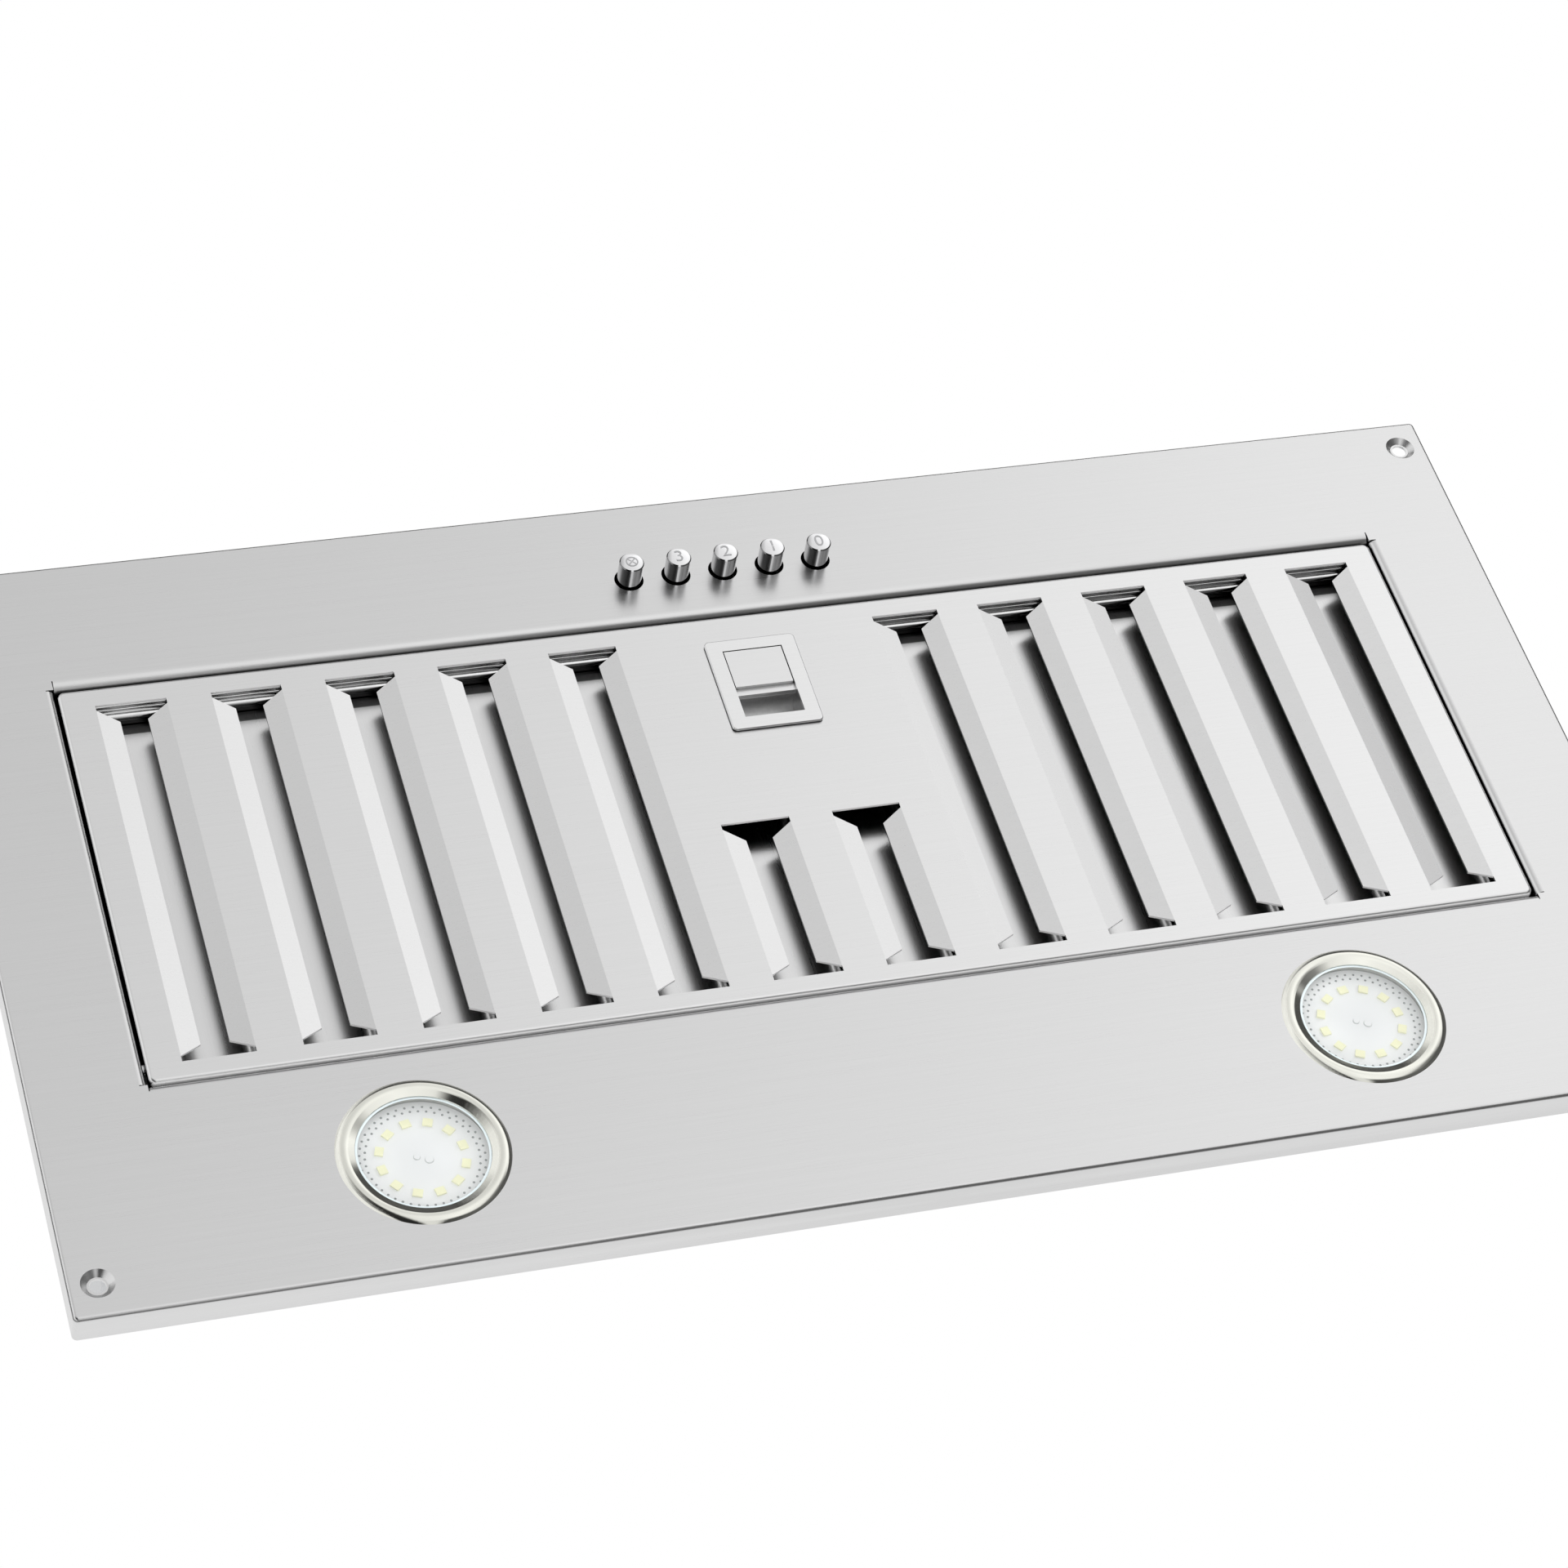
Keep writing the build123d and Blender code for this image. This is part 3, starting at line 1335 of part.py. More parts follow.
with BuildPart() as capacitor_clip:
    with BuildSketch(Plane.YZ.offset(capacitor_x - capacitor_strap_width / 2)):
        with Locations((capacitor_y, capacitor_z)):
            Circle(strap_radius)
        with Locations((capacitor_y, body_roof - capacitor_strap / 2)):
            Rectangle(2 * strap_radius + 2 * capacitor_strap_width, capacitor_strap)
        with Locations((capacitor_y, capacitor_z)):
            Circle(capacitor_radius + screw_clearance, mode=Mode.SUBTRACT)
    extrude(amount=capacitor_strap_width)
finish(capacitor_clip, "capacitor_clip")

# LED driver under the roof
with BuildPart() as led_driver:
    with BuildSketch(Plane.XY.offset(body_roof)):
        with Locations((driver_x, driver_y)):
            RectangleRounded(driver_length, driver_width, driver_height / 10)
    extrude(amount=-driver_height)
finish(led_driver, "led_driver")

# Terminal box on the roof: a tray that is open at one end, the end plate with the hole for the gland,
# a cover, a block and the gland
with BuildPart() as terminal_box:
    with BuildSketch(Plane.XY.offset(body_top)):
        with Locations((terminal_x, terminal_y)):
            RectangleRounded(terminal_length, terminal_width, terminal_corner)
        with Locations((terminal_left, terminal_y)):
            Rectangle(2 * terminal_wall, terminal_width, mode=Mode.SUBTRACT)
    extrude(amount=terminal_height)
    with BuildSketch(Plane.XY.offset(terminal_floor)):
        with Locations((terminal_x, terminal_y)):
            Rectangle(terminal_length - 2 * terminal_wall, terminal_width - 2 * terminal_wall)
    extrude(amount=terminal_height, mode=Mode.SUBTRACT)
    with BuildSketch(Plane.XY.offset(body_top)):
        with Locations((terminal_x, terminal_y)):
            Circle(cable_hole_diameter / 2)
    extrude(amount=terminal_wall, mode=Mode.SUBTRACT)
finish(terminal_box, "terminal_box")

with BuildPart() as terminal_end_plate:
    with BuildSketch(Plane.XY.offset(body_top)):
        with Locations((terminal_x, terminal_y)):
            RectangleRounded(terminal_length, terminal_width, terminal_corner)
        with Locations((terminal_left, terminal_y)):
            Rectangle(2 * terminal_wall, terminal_width, mode=Mode.INTERSECT)
    extrude(amount=terminal_height)
    with BuildSketch(Plane.YZ.offset(terminal_left)):
        with Locations((terminal_y, body_top + terminal_height / 2)):
            Circle(gland_thread_diameter / 2 + screw_clearance)
    extrude(amount=terminal_wall, mode=Mode.SUBTRACT)
finish(terminal_end_plate, "terminal_end_plate")

with BuildPart() as terminal_box_cover:
    with BuildSketch(Plane.XY.offset(terminal_rim)):
        with Locations((terminal_x, terminal_y)):
            RectangleRounded(terminal_length, terminal_width, terminal_corner)
    extrude(amount=terminal_cover)
    fillet(terminal_box_cover.faces().sort_by(Axis.Z)[-1].edges(), terminal_cover / 3)
    with BuildSketch(Plane.XY.offset(terminal_rim)):
        inset = 2 * (terminal_wall + seat_clearance)
        with Locations((terminal_x, terminal_y)):
            lap_corner = terminal_corner - terminal_wall - seat_clearance
            RectangleRounded(terminal_length - inset, terminal_width - inset, lap_corner)
            Rectangle(
                terminal_length - inset - 2 * terminal_wall,
                terminal_width - inset - 2 * terminal_wall,
                mode=Mode.SUBTRACT,
            )
    extrude(amount=-terminal_cover_lap)
finish(terminal_box_cover, "terminal_box_cover")

with BuildPart() as terminal_block:
    block_y = terminal_y + terminal_width / 2 - terminal_wall - terminal_block_width / 2 - seat_clearance
    with BuildSketch(Plane.XY.offset(terminal_floor)):
        with Locations((terminal_x, block_y)):
            Rectangle(terminal_block_length, terminal_block_width)
    extrude(amount=terminal_block_height)
    with BuildSketch(Plane.XY.offset(terminal_floor + terminal_block_height)):
        with Locations((terminal_x, block_y)):
            with GridLocations(terminal_block_length / terminal_ways, 0, terminal_ways, 1):
                Circle(terminal_way_diameter / 2)
    extrude(amount=-terminal_block_height / 2, mode=Mode.SUBTRACT)
finish(terminal_block, "terminal_block")

gland_plane = Plane((terminal_left, terminal_y, body_top + terminal_height / 2), (0, 1, 0), (-1, 0, 0))
with BuildPart() as cable_gland:
    with BuildSketch(gland_plane):
        RegularPolygon(gland_nut_across_flats / 2, 6, major_radius=False)
    extrude(amount=gland_nut_height)
    with BuildSketch(gland_plane.offset(gland_nut_height)):
        Circle(gland_cap_diameter / 2)
    extrude(amount=gland_cap_height)
    fillet(cable_gland.faces().sort_by(Axis.X)[0].edges(), gland_cap_height / 4)
    with BuildSketch(gland_plane):
        Circle(gland_thread_diameter / 2)
    extrude(amount=-2 * terminal_wall)
    with BuildSketch(gland_plane.offset(-2 * terminal_wall)):
        Circle(gland_bore / 2)
    extrude(amount=2 * terminal_wall + gland_nut_height + gland_cap_height, mode=Mode.SUBTRACT)
finish(cable_gland, "cable_gland")
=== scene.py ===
import json
import math

import bmesh
import bpy
from mathutils import Matrix, Vector


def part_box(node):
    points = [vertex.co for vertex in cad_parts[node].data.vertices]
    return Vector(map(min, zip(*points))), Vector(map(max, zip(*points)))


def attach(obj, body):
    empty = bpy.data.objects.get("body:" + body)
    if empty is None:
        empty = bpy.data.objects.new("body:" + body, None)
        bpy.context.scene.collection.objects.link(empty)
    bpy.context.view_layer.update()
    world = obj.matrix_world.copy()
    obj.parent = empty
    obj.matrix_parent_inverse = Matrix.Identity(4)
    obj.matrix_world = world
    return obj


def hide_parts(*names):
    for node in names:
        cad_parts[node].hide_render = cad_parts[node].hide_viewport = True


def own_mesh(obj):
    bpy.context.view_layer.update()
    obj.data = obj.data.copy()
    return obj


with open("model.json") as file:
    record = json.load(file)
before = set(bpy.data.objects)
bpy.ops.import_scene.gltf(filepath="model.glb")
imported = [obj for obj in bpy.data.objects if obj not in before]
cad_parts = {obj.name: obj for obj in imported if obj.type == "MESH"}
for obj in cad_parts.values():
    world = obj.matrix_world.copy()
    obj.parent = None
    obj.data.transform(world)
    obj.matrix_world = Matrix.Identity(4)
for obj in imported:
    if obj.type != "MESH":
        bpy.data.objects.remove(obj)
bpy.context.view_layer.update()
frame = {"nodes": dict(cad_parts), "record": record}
nodes = frame["nodes"]
scene = bpy.context.scene

MM = 0.001
MICRON = 0.000001

# The buttons from left to right and their pitch, as in the solids
BUTTONS = ("light", "3", "2", "1", "0")
BUTTON_PITCH = 16.0 * MM

# Colour sockets of a Mix node: its two inputs and its result
MIX_A, MIX_B, MIX_RESULT = 6, 7, 2

# Directions, fixed in the object's frame, along which painted reflections, painted shade and
# painted light are laid
LEFT_TO_RIGHT = Vector((0.953, 0.270, -0.138))
FLAP_INSIDE = Vector((0.0, -0.6, 0.8))
REAR = Vector((0.0, 1.0, 0.0))


# Node helpers
def insides(mat):
    """A material's node tree and shader."""
    nt = mat.node_tree
    return nt, nt.nodes["Principled BSDF"]


def tree(name):
    """New material, its node tree and its shader."""
    mat = bpy.data.materials.new(name)
    mat.use_nodes = True
    return mat, *insides(mat)


def put(nt, kind, **values):
    """Adds a node and sets its attributes, or its inputs where the name is an input's."""
    node = nt.nodes.new(kind)
    for key, value in values.items():
        if hasattr(node, key):
            setattr(node, key, value)
        else:
            node.inputs[key].default_value = value
    return node


def stretched(nt, scale=(1.0, 1.0, 1.0)):
    """Object coordinates multiplied per axis, so that a pattern runs along one of them."""
    place = put(nt, "ShaderNodeTexCoord")
    mapping = put(nt, "ShaderNodeMapping", Scale=scale)
    nt.links.new(place.outputs["Object"], mapping.inputs["Vector"])
    return mapping.outputs["Vector"]


def noise(nt, vector, scale, detail=3.0, rough=0.55):
    """Cloud pattern of 0..1."""
    node = put(nt, "ShaderNodeTexNoise", Scale=scale, Detail=detail, Roughness=rough)
    nt.links.new(vector, node.inputs["Vector"])
    return node.outputs["Fac"]


def ramp(nt, factor, *stops):
    """Colour ramp from (position, grey or colour) stops."""
    node = put(nt, "ShaderNodeValToRGB")
    elements = node.color_ramp.elements
    while len(elements) < len(stops):
        elements.new(0.5)
    for element, (position, colour) in zip(elements, stops):
        element.position = position
        rgb = (colour,) * 3 if isinstance(colour, float) else colour
        element.color = (*rgb, 1.0)
    nt.links.new(factor, node.inputs["Fac"])
    return node.outputs["Color"]


def map_range(nt, value, **limits):
    """Maps one range to another, each 0..1 where it isn't given."""
    node = put(nt, "ShaderNodeMapRange")
    for key, limit in limits.items():
        node.inputs[key.replace("_", " ").title()].default_value = limit
    nt.links.new(value, node.inputs["Value"])
    return node.outputs["Result"]


def along_axis(nt, axis, start, end, coordinates="Object"):
    """0..1 between two places along one axis."""
    place = put(nt, "ShaderNodeTexCoord")
    split = put(nt, "ShaderNodeSeparateXYZ")
    nt.links.new(place.outputs[coordinates], split.inputs["Vector"])
    return map_range(nt, split.outputs[axis], from_min=start, from_max=end)


def facing(nt, direction):
    """0..1 as the surface turns from facing away to facing along a direction."""
    geometry = put(nt, "ShaderNodeNewGeometry")
    along = put(nt, "ShaderNodeVectorMath", operation="DOT_PRODUCT")
    along.inputs[1].default_value = direction
    nt.links.new(geometry.outputs["True Normal"], along.inputs[0])
    return map_range(nt, along.outputs["Value"], from_min=-1.0)


def mix_shaders(nt, factor, first, second):
    """Goes from one shader to another as a factor goes from 0 to 1."""
    node = put(nt, "ShaderNodeMixShader")
    nt.links.new(factor, node.inputs["Fac"])
    nt.links.new(first, node.inputs[1])
    nt.links.new(second, node.inputs[2])
    return node.outputs["Shader"]


# What a pattern does to a shader
def vary_colour(nt, bsdf, pattern, colour, dark, light, start=0.3, end=0.7):
    """Darkens and lightens a colour by two factors as a pattern goes from start to end."""
    low, high = (tuple(min(1.0, c * factor) for c in colour) for factor in (dark, light))
    nt.links.new(ramp(nt, pattern, (start, low), (end, high)), bsdf.inputs["Base Color"])


def vary_roughness(nt, bsdf, pattern, low, high):
    """Takes the roughness from low to high with a pattern."""
    rough = map_range(nt, pattern, to_min=low, to_max=high)
    nt.links.new(rough, bsdf.inputs["Roughness"])


def bump(nt, bsdf, height, strength, distance):
    """Raises the surface a little with a pattern."""
    node = put(nt, "ShaderNodeBump", Strength=strength, Distance=distance)
    nt.links.new(height, node.inputs["Height"])
    nt.links.new(node.outputs["Normal"], bsdf.inputs["Normal"])


def tinted(nt, bsdf, value, *stops):
    """Multiplies the shader's colour by a ramp over a value."""
    base = bsdf.inputs["Base Color"].links[0].from_socket
    film = put(nt, "ShaderNodeMix", data_type="RGBA", blend_type="MULTIPLY", Factor=1.0)
    nt.links.new(base, film.inputs[MIX_A])
    nt.links.new(ramp(nt, value, *stops), film.inputs[MIX_B])
    nt.links.new(film.outputs[MIX_RESULT], bsdf.inputs["Base Color"])


# Materials
def brushed(
    name, colour, rough, run="X", grain=1.0, aniso=0.5, painted_hollow_shade=None, inner=None, metal=1.0,
):
    """Stainless sheet with fine grinding lines along X or Y.

    hollow paints shade into its joints and hollows: a reach, then stops of brightness against how
    open a point lies.
    inner is the brightness left on the faces that look into the filter, where shade is painted.
    """
    mat, nt, bsdf = tree(name)
    line_across, line_along = 5000.0 * grain, 40.0
    band_across, band_along = 900.0 * grain, 6.0
    band_share = 0.35
    is_across = {"X": (0, 1, 1), "Y": (1, 0, 1)}[run]
    line_scale = [line_across if a else line_along for a in is_across]
    band_scale = [band_across if a else band_along for a in is_across]
    lines = noise(nt, stretched(nt, line_scale), 1.0, detail=4.0, rough=0.6)
    bands = noise(nt, stretched(nt, band_scale), 1.0, detail=2.0, rough=0.5)
    line_part = put(nt, "ShaderNodeMath", operation="MULTIPLY")
    line_part.inputs[1].default_value = 1.0 - band_share
    nt.links.new(lines, line_part.inputs[0])
    both = put(nt, "ShaderNodeMath", operation="MULTIPLY_ADD")
    both.inputs[1].default_value = band_share
    nt.links.new(bands, both.inputs[0])
    nt.links.new(line_part.outputs[0], both.inputs[2])
    grind = both.outputs[0]
    vary_colour(nt, bsdf, grind, colour, dark=0.97, light=1.03)
    # Painted shade: the colour darkens where ambient occlusion finds a hollow
    if painted_hollow_shade:
        reach, openness = painted_hollow_shade
        depth = put(nt, "ShaderNodeAmbientOcclusion", samples=12, Distance=reach)
        tinted(nt, bsdf, depth.outputs["AO"], *openness)
    # Painted shade on the faces that look into the filter
    if inner:
        tinted(nt, bsdf, facing(nt, FLAP_INSIDE), (0.32, 1.0), (0.45, inner))
    vary_roughness(nt, bsdf, grind, low=rough - 0.04, high=rough + 0.05)
    bump(nt, bsdf, grind, strength=0.05, distance=40 * MICRON)
    bsdf.inputs["Metallic"].default_value = metal
    bsdf.inputs["Anisotropic"].default_value = aniso
    bsdf.inputs["Anisotropic Rotation"].default_value = {"X": 0.25, "Y": 0.0}[run]
    tangent = put(nt, "ShaderNodeTangent", direction_type="RADIAL", axis="Y")
    nt.links.new(tangent.outputs["Tangent"], bsdf.inputs["Tangent"])
    return mat


def satin_metal(name, colour, rough, spot=600.0, depth=20 * MICRON):
    """Plated or plain metal with a faint cloudy finish."""
    mat, nt, bsdf = tree(name)
    cloud = noise(nt, stretched(nt), scale=spot)
    vary_colour(nt, bsdf, cloud, colour, dark=0.94, light=1.04)
    vary_roughness(nt, bsdf, cloud, low=rough * 0.8, high=rough * 1.25)
    bump(nt, bsdf, cloud, strength=0.15, distance=depth)
    bsdf.inputs["Metallic"].default_value = 1.0
    return mat


def painted_light_side(mat, direction, start, end, metal):
    """Paints light on the side of a metal that faces a direction, by making it pale and matte
    there.
    """
    nt, bsdf = insides(mat)
    share = ramp(nt, facing(nt, direction), (start, 1.0), (end, metal))
    nt.links.new(share, bsdf.inputs["Metallic"])
    return mat


def chrome(name, colour, rough):
    """Bright plating with painted reflection streaks: dark and light bands in its colour, set by
    which way the surface faces.
    """
    mat = satin_metal(name, colour, rough, spot=60.0, depth=MICRON)
    nt, bsdf = insides(mat)
    # Painted reflection: dark and light streaks across the buttons from left to right
    tinted(
        nt, bsdf, facing(nt, LEFT_TO_RIGHT),
        (0.04, 0.75), (0.16, 0.30), (0.46, 0.22), (0.52, 1.0),
        (0.63, 1.0), (0.70, 0.55), (0.90, 0.45), (0.98, 0.8),
    )
    return mat


def painted_shade_along(mat, axis, shade_start, shade_full, left):
    """Paints shade on a metal, which darkens between two places along one axis of the object."""
    nt, bsdf = insides(mat)
    tinted(nt, bsdf, along_axis(nt, axis, shade_start, shade_full), (0.0, 1.0), (1.0, left))
    return mat


def plastic(name, colour, rough, grain=2500.0, depth=50 * MICRON):
    """Moulded plastic with a fine spark-eroded texture."""
    mat, nt, bsdf = tree(name)
    where = stretched(nt)
    pits = noise(nt, where, scale=grain, detail=2.0)
    cloud = noise(nt, where, scale=25.0, detail=2.0)
    vary_colour(nt, bsdf, cloud, colour, dark=0.9, light=1.1)
    vary_roughness(nt, bsdf, pits, low=rough - 0.08, high=rough + 0.08)
    bump(nt, bsdf, pits, strength=0.3, distance=depth)
    return mat


def smooth_plastic(name, colour, rough):
    """Plastic or lacquer with almost no texture."""
    return plastic(name, colour, rough, grain=1800.0, depth=10 * MICRON)


def spangled(name, colour, rough):
    """Zinc-coated sheet with its flat crystal pattern."""
    mat, nt, bsdf = tree(name)
    cells = put(nt, "ShaderNodeTexVoronoi", Scale=90.0)
    nt.links.new(stretched(nt), cells.inputs["Vector"])
    grey = put(nt, "ShaderNodeRGBToBW")
    nt.links.new(cells.outputs["Color"], grey.inputs["Color"])
    spangle = grey.outputs["Val"]
    vary_colour(nt, bsdf, spangle, colour, dark=0.9, light=1.06, start=0.2, end=0.8)
    vary_roughness(nt, bsdf, spangle, low=rough - 0.07, high=rough + 0.09)
    bsdf.inputs["Metallic"].default_value = 1.0
    return mat


def clear_glass(name):
    """Clear glass with a faint smudge."""
    mat, nt, bsdf = tree(name)
    smudge = noise(nt, stretched(nt), scale=120.0)
    vary_roughness(nt, bsdf, smudge, low=0.02, high=0.07)
    bsdf.inputs["Base Color"].default_value = (0.93, 0.96, 0.95, 1.0)
    bsdf.inputs["Alpha"].default_value = 0.14
    bsdf.inputs["IOR"].default_value = 1.5
    return mat


# Height at which the filter frame's front rail begins to curve up, and its part above that with
# painted shade
RAIL_EDGE = 3.9 * MM
RAIL_SHADE_START, RAIL_SHADE_FULL = 0.2 * MM, 1.3 * MM
rail_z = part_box("filter_frame")[0].z + RAIL_EDGE
# Front end of the baffles, and its part that lies in the frame's shade, which is painted on
BAFFLE_SHADE_START, BAFFLE_SHADE_FULL = 3.9 * MM, 3.5 * MM
baffle_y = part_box("filter_baffles")[0].y
# Painted shade in hollows and joints: reach of the darkening, then brightness against how open a
# point lies
SEAM_SHADE = (4 * MM, ((0.08, 0.04), (0.44, 1.0)))
JOINT_SHADE = (2 * MM, ((0.15, 0.03), (0.62, 1.0)))
slots = {
    "plate_steel": brushed("plate_steel", (0.80, 0.80, 0.80), 0.28, painted_hollow_shade=SEAM_SHADE),
    # Painted shade on the faces looking into the filter, painted light on its rear faces
    "filter_steel": painted_light_side(
        brushed("filter_steel", (0.87, 0.87, 0.87), 0.28, inner=0.10),
        REAR, start=0.84, end=0.93, metal=0.1,
    ),
    # Painted shadow of the frame on the baffles' front end
    "baffle_steel": painted_shade_along(
        brushed("baffle_steel", (0.87, 0.87, 0.87), 0.28, run="Y", grain=0.7, aniso=0.6),
        "Y", shade_start=baffle_y + BAFFLE_SHADE_START, shade_full=baffle_y + BAFFLE_SHADE_FULL, left=0.16,
    ),
    # Painted shade on the frame's rail, deeper in the hood
    "frame_steel": painted_shade_along(
        satin_metal("frame_steel", (0.90, 0.90, 0.90), 0.13, spot=300.0, depth=MICRON),
        "Z", shade_start=rail_z + RAIL_SHADE_START, shade_full=rail_z + RAIL_SHADE_FULL, left=0.22,
    ),
    "latch_steel": brushed(
        "latch_steel", (0.94, 0.94, 0.94), 0.30, grain=1.4, aniso=0.3, painted_hollow_shade=JOINT_SHADE,
    ),
    "slider_steel": brushed(
        "slider_steel", (0.90, 0.90, 0.90), 0.30, grain=1.4, aniso=0.3, painted_hollow_shade=JOINT_SHADE,
    ),
    "case_steel": satin_metal(
        "case_steel", (0.74, 0.74, 0.74), 0.40, spot=900.0, depth=30 * MICRON,
    ),
    "button_chrome": chrome("button_chrome", (0.92, 0.92, 0.93), 0.06),
    # Painted light: the bezel's left-facing side turns pale
    "bezel_nickel": painted_light_side(
        satin_metal("bezel_nickel", (0.88, 0.88, 0.81), 0.10, spot=60.0, depth=MICRON),
        -LEFT_TO_RIGHT, start=0.54, end=0.68, metal=0.2,
    ),
    "lamp_glass": clear_glass("lamp_glass"),
    "lamp_aluminium": satin_metal("lamp_aluminium", (0.62, 0.62, 0.56), 0.3),
    "board_white": smooth_plastic("board_white", (0.86, 0.87, 0.88), 0.4),
    "led_yellow": smooth_plastic("led_yellow", (0.93, 0.91, 0.55), 0.35),
    "body_steel": brushed("body_steel", (0.66, 0.67, 0.68), 0.40, grain=0.8, metal=0.5),
    "zinc_steel": spangled("zinc_steel", (0.58, 0.60, 0.62), 0.38),
    "fastener_steel": satin_metal("fastener_steel", (0.66, 0.66, 0.67), 0.24, spot=900.0),
    "spring_steel": satin_metal("spring_steel", (0.55, 0.55, 0.56), 0.22, spot=900.0),
    "motor_iron": satin_metal("motor_iron", (0.24, 0.23, 0.23), 0.5, spot=500.0),
    "bush_rubber": plastic("bush_rubber", (0.03, 0.03, 0.03), 0.7),
    "impeller_plastic": plastic("impeller_plastic", (0.06, 0.06, 0.065), 0.5),
    "capacitor_plastic": plastic("capacitor_plastic", (0.72, 0.72, 0.70), 0.35),
    "driver_plastic": plastic("driver_plastic", (0.78, 0.78, 0.77), 0.45),
    "switch_plastic": plastic("switch_plastic", (0.05, 0.05, 0.055), 0.5),
    "collar_plastic": plastic("collar_plastic", (0.05, 0.05, 0.055), 0.5),
    "flap_plastic": plastic("flap_plastic", (0.09, 0.09, 0.095), 0.5),
    "terminal_plastic": plastic("terminal_plastic", (0.06, 0.06, 0.065), 0.5),
    "block_plastic": plastic("block_plastic", (0.80, 0.79, 0.74), 0.45),
    "gland_plastic": plastic("gland_plastic", (0.07, 0.07, 0.075), 0.45),
}

for sub in frame["record"]["subparts"]:
    mesh = nodes[sub["node"]].data
    mesh.materials.clear()
    mesh.materials.append(slots[sub["material_slot"]])


# Small printed and raised details that the solids don't carry
def circle(bm, x, y, z, radius, sides):
    """Loop of vertices round a point."""
    angles = (2 * math.pi * i / sides for i in range(sides))
    return [bm.verts.new((x + radius * math.cos(a), y + radius * math.sin(a), z)) for a in angles]


def disc(bm, x, y, z, radius, depth, sides=12):
    """Short peg that stands down from z by depth."""
    top = circle(bm, x, y, z, radius, sides)
    low = circle(bm, x, y, z - depth, radius, sides)
    bm.faces.new(top)
    bm.faces.new(list(reversed(low)))
    for i in range(sides):
        j = (i + 1) % sides
        bm.faces.new((top[i], low[i], low[j], top[j]))


def annulus(bm, x, y, z, inner, outer, depth, sides=96):
    """Flat ring that stands down from z by depth."""
    corners = ((inner, z), (outer, z), (outer, z - depth), (inner, z - depth))
    loops = [circle(bm, x, y, level, radius, sides) for radius, level in corners]
    for first, second in zip(loops, loops[1:] + loops[:1]):
        for i in range(sides):
            j = (i + 1) % sides
            bm.faces.new((first[i], first[j], second[j], second[i]))


def linked(name, data):
    """New object in the scene."""
    obj = bpy.data.objects.new(name, data)
    scene.collection.objects.link(obj)
    return obj


def piece(name, bm, material, body):
    """Makes a visible piece of one body, and frees the mesh that it was drawn in."""
    bmesh.ops.recalc_face_normals(bm, faces=bm.faces)
    mesh = bpy.data.meshes.new(name)
    bm.to_mesh(mesh)
    bm.free()
    obj = linked(name, mesh)
    mesh.materials.append(material)
    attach(obj, body)
    return obj


def underside(low, high):
    """Middle of a box's lowest face."""
    return (low.x + high.x) / 2, (low.y + high.y) / 2, low.z


# Lamp boards: two rows of printed dots (radius, turn as a share of the pitch)
DOT_ROWS = ((17.0 * MM, 0.0), (18.6 * MM, 0.5))
DOT_COUNT = 44
DOT_RADIUS = 0.40 * MM
PRINT_DEPTH = 0.05 * MM
# Two solder bumps (place from the lamp's middle, radius), each with a printed outline
SOLDER_BUMPS = ((-1.6 * MM, -0.6 * MM, 0.9 * MM), (1.8 * MM, 0.9 * MM, 1.2 * MM))
SOLDER_DEPTH = 0.35 * MM
SOLDER_SIDES = 16
OUTLINE_WIDTH = 0.2 * MM
# Painted highlight along the glass's edge: a thin pale ring
GLASS_HIGHLIGHT_INNER, GLASS_HIGHLIGHT_OUTER = 19.4 * MM, 20.1 * MM
GLASS_HIGHLIGHT_DEPTH = 0.04 * MM

pad_grey = smooth_plastic("pad_grey", (0.12, 0.14, 0.14), 0.4)
glass_edge_highlight = smooth_plastic("glass_edge_highlight", (0.80, 0.89, 0.92), 0.15)
solder_grey = smooth_plastic("solder_grey", (0.48, 0.50, 0.50), 0.4)
for side in ("left", "right"):
    cx, cy, face = underside(*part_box(f"{side}_lamp_board"))
    bm = bmesh.new()
    for radius, turn in DOT_ROWS:
        for i in range(DOT_COUNT):
            a = 2 * math.pi * (i + turn) / DOT_COUNT
            x, y = cx + radius * math.cos(a), cy + radius * math.sin(a)
            disc(bm, x, y, face, DOT_RADIUS, PRINT_DEPTH)
    piece(f"{side}_lamp_pads", bm, pad_grey, "hood")
    bumps, outlines = bmesh.new(), bmesh.new()
    for dx, dy, radius in SOLDER_BUMPS:
        x, y = cx + dx, cy + dy
        disc(bumps, x, y, face, radius, SOLDER_DEPTH, SOLDER_SIDES)
        disc(outlines, x, y, face, radius + OUTLINE_WIDTH, PRINT_DEPTH, SOLDER_SIDES)
    piece(f"{side}_lamp_bumps", bumps, slots["board_white"], "hood")
    piece(f"{side}_lamp_outlines", outlines, solder_grey, "hood")
    # Painted highlight: a pale ring on the glass's face at its edge
    glass_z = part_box(f"{side}_lamp_glass")[0].z
    bm = bmesh.new()
    annulus(bm, cx, cy, glass_z, GLASS_HIGHLIGHT_INNER, GLASS_HIGHLIGHT_OUTER, GLASS_HIGHLIGHT_DEPTH)
    piece(f"{side}_lamp_glass_highlight", bm, glass_edge_highlight, "hood")

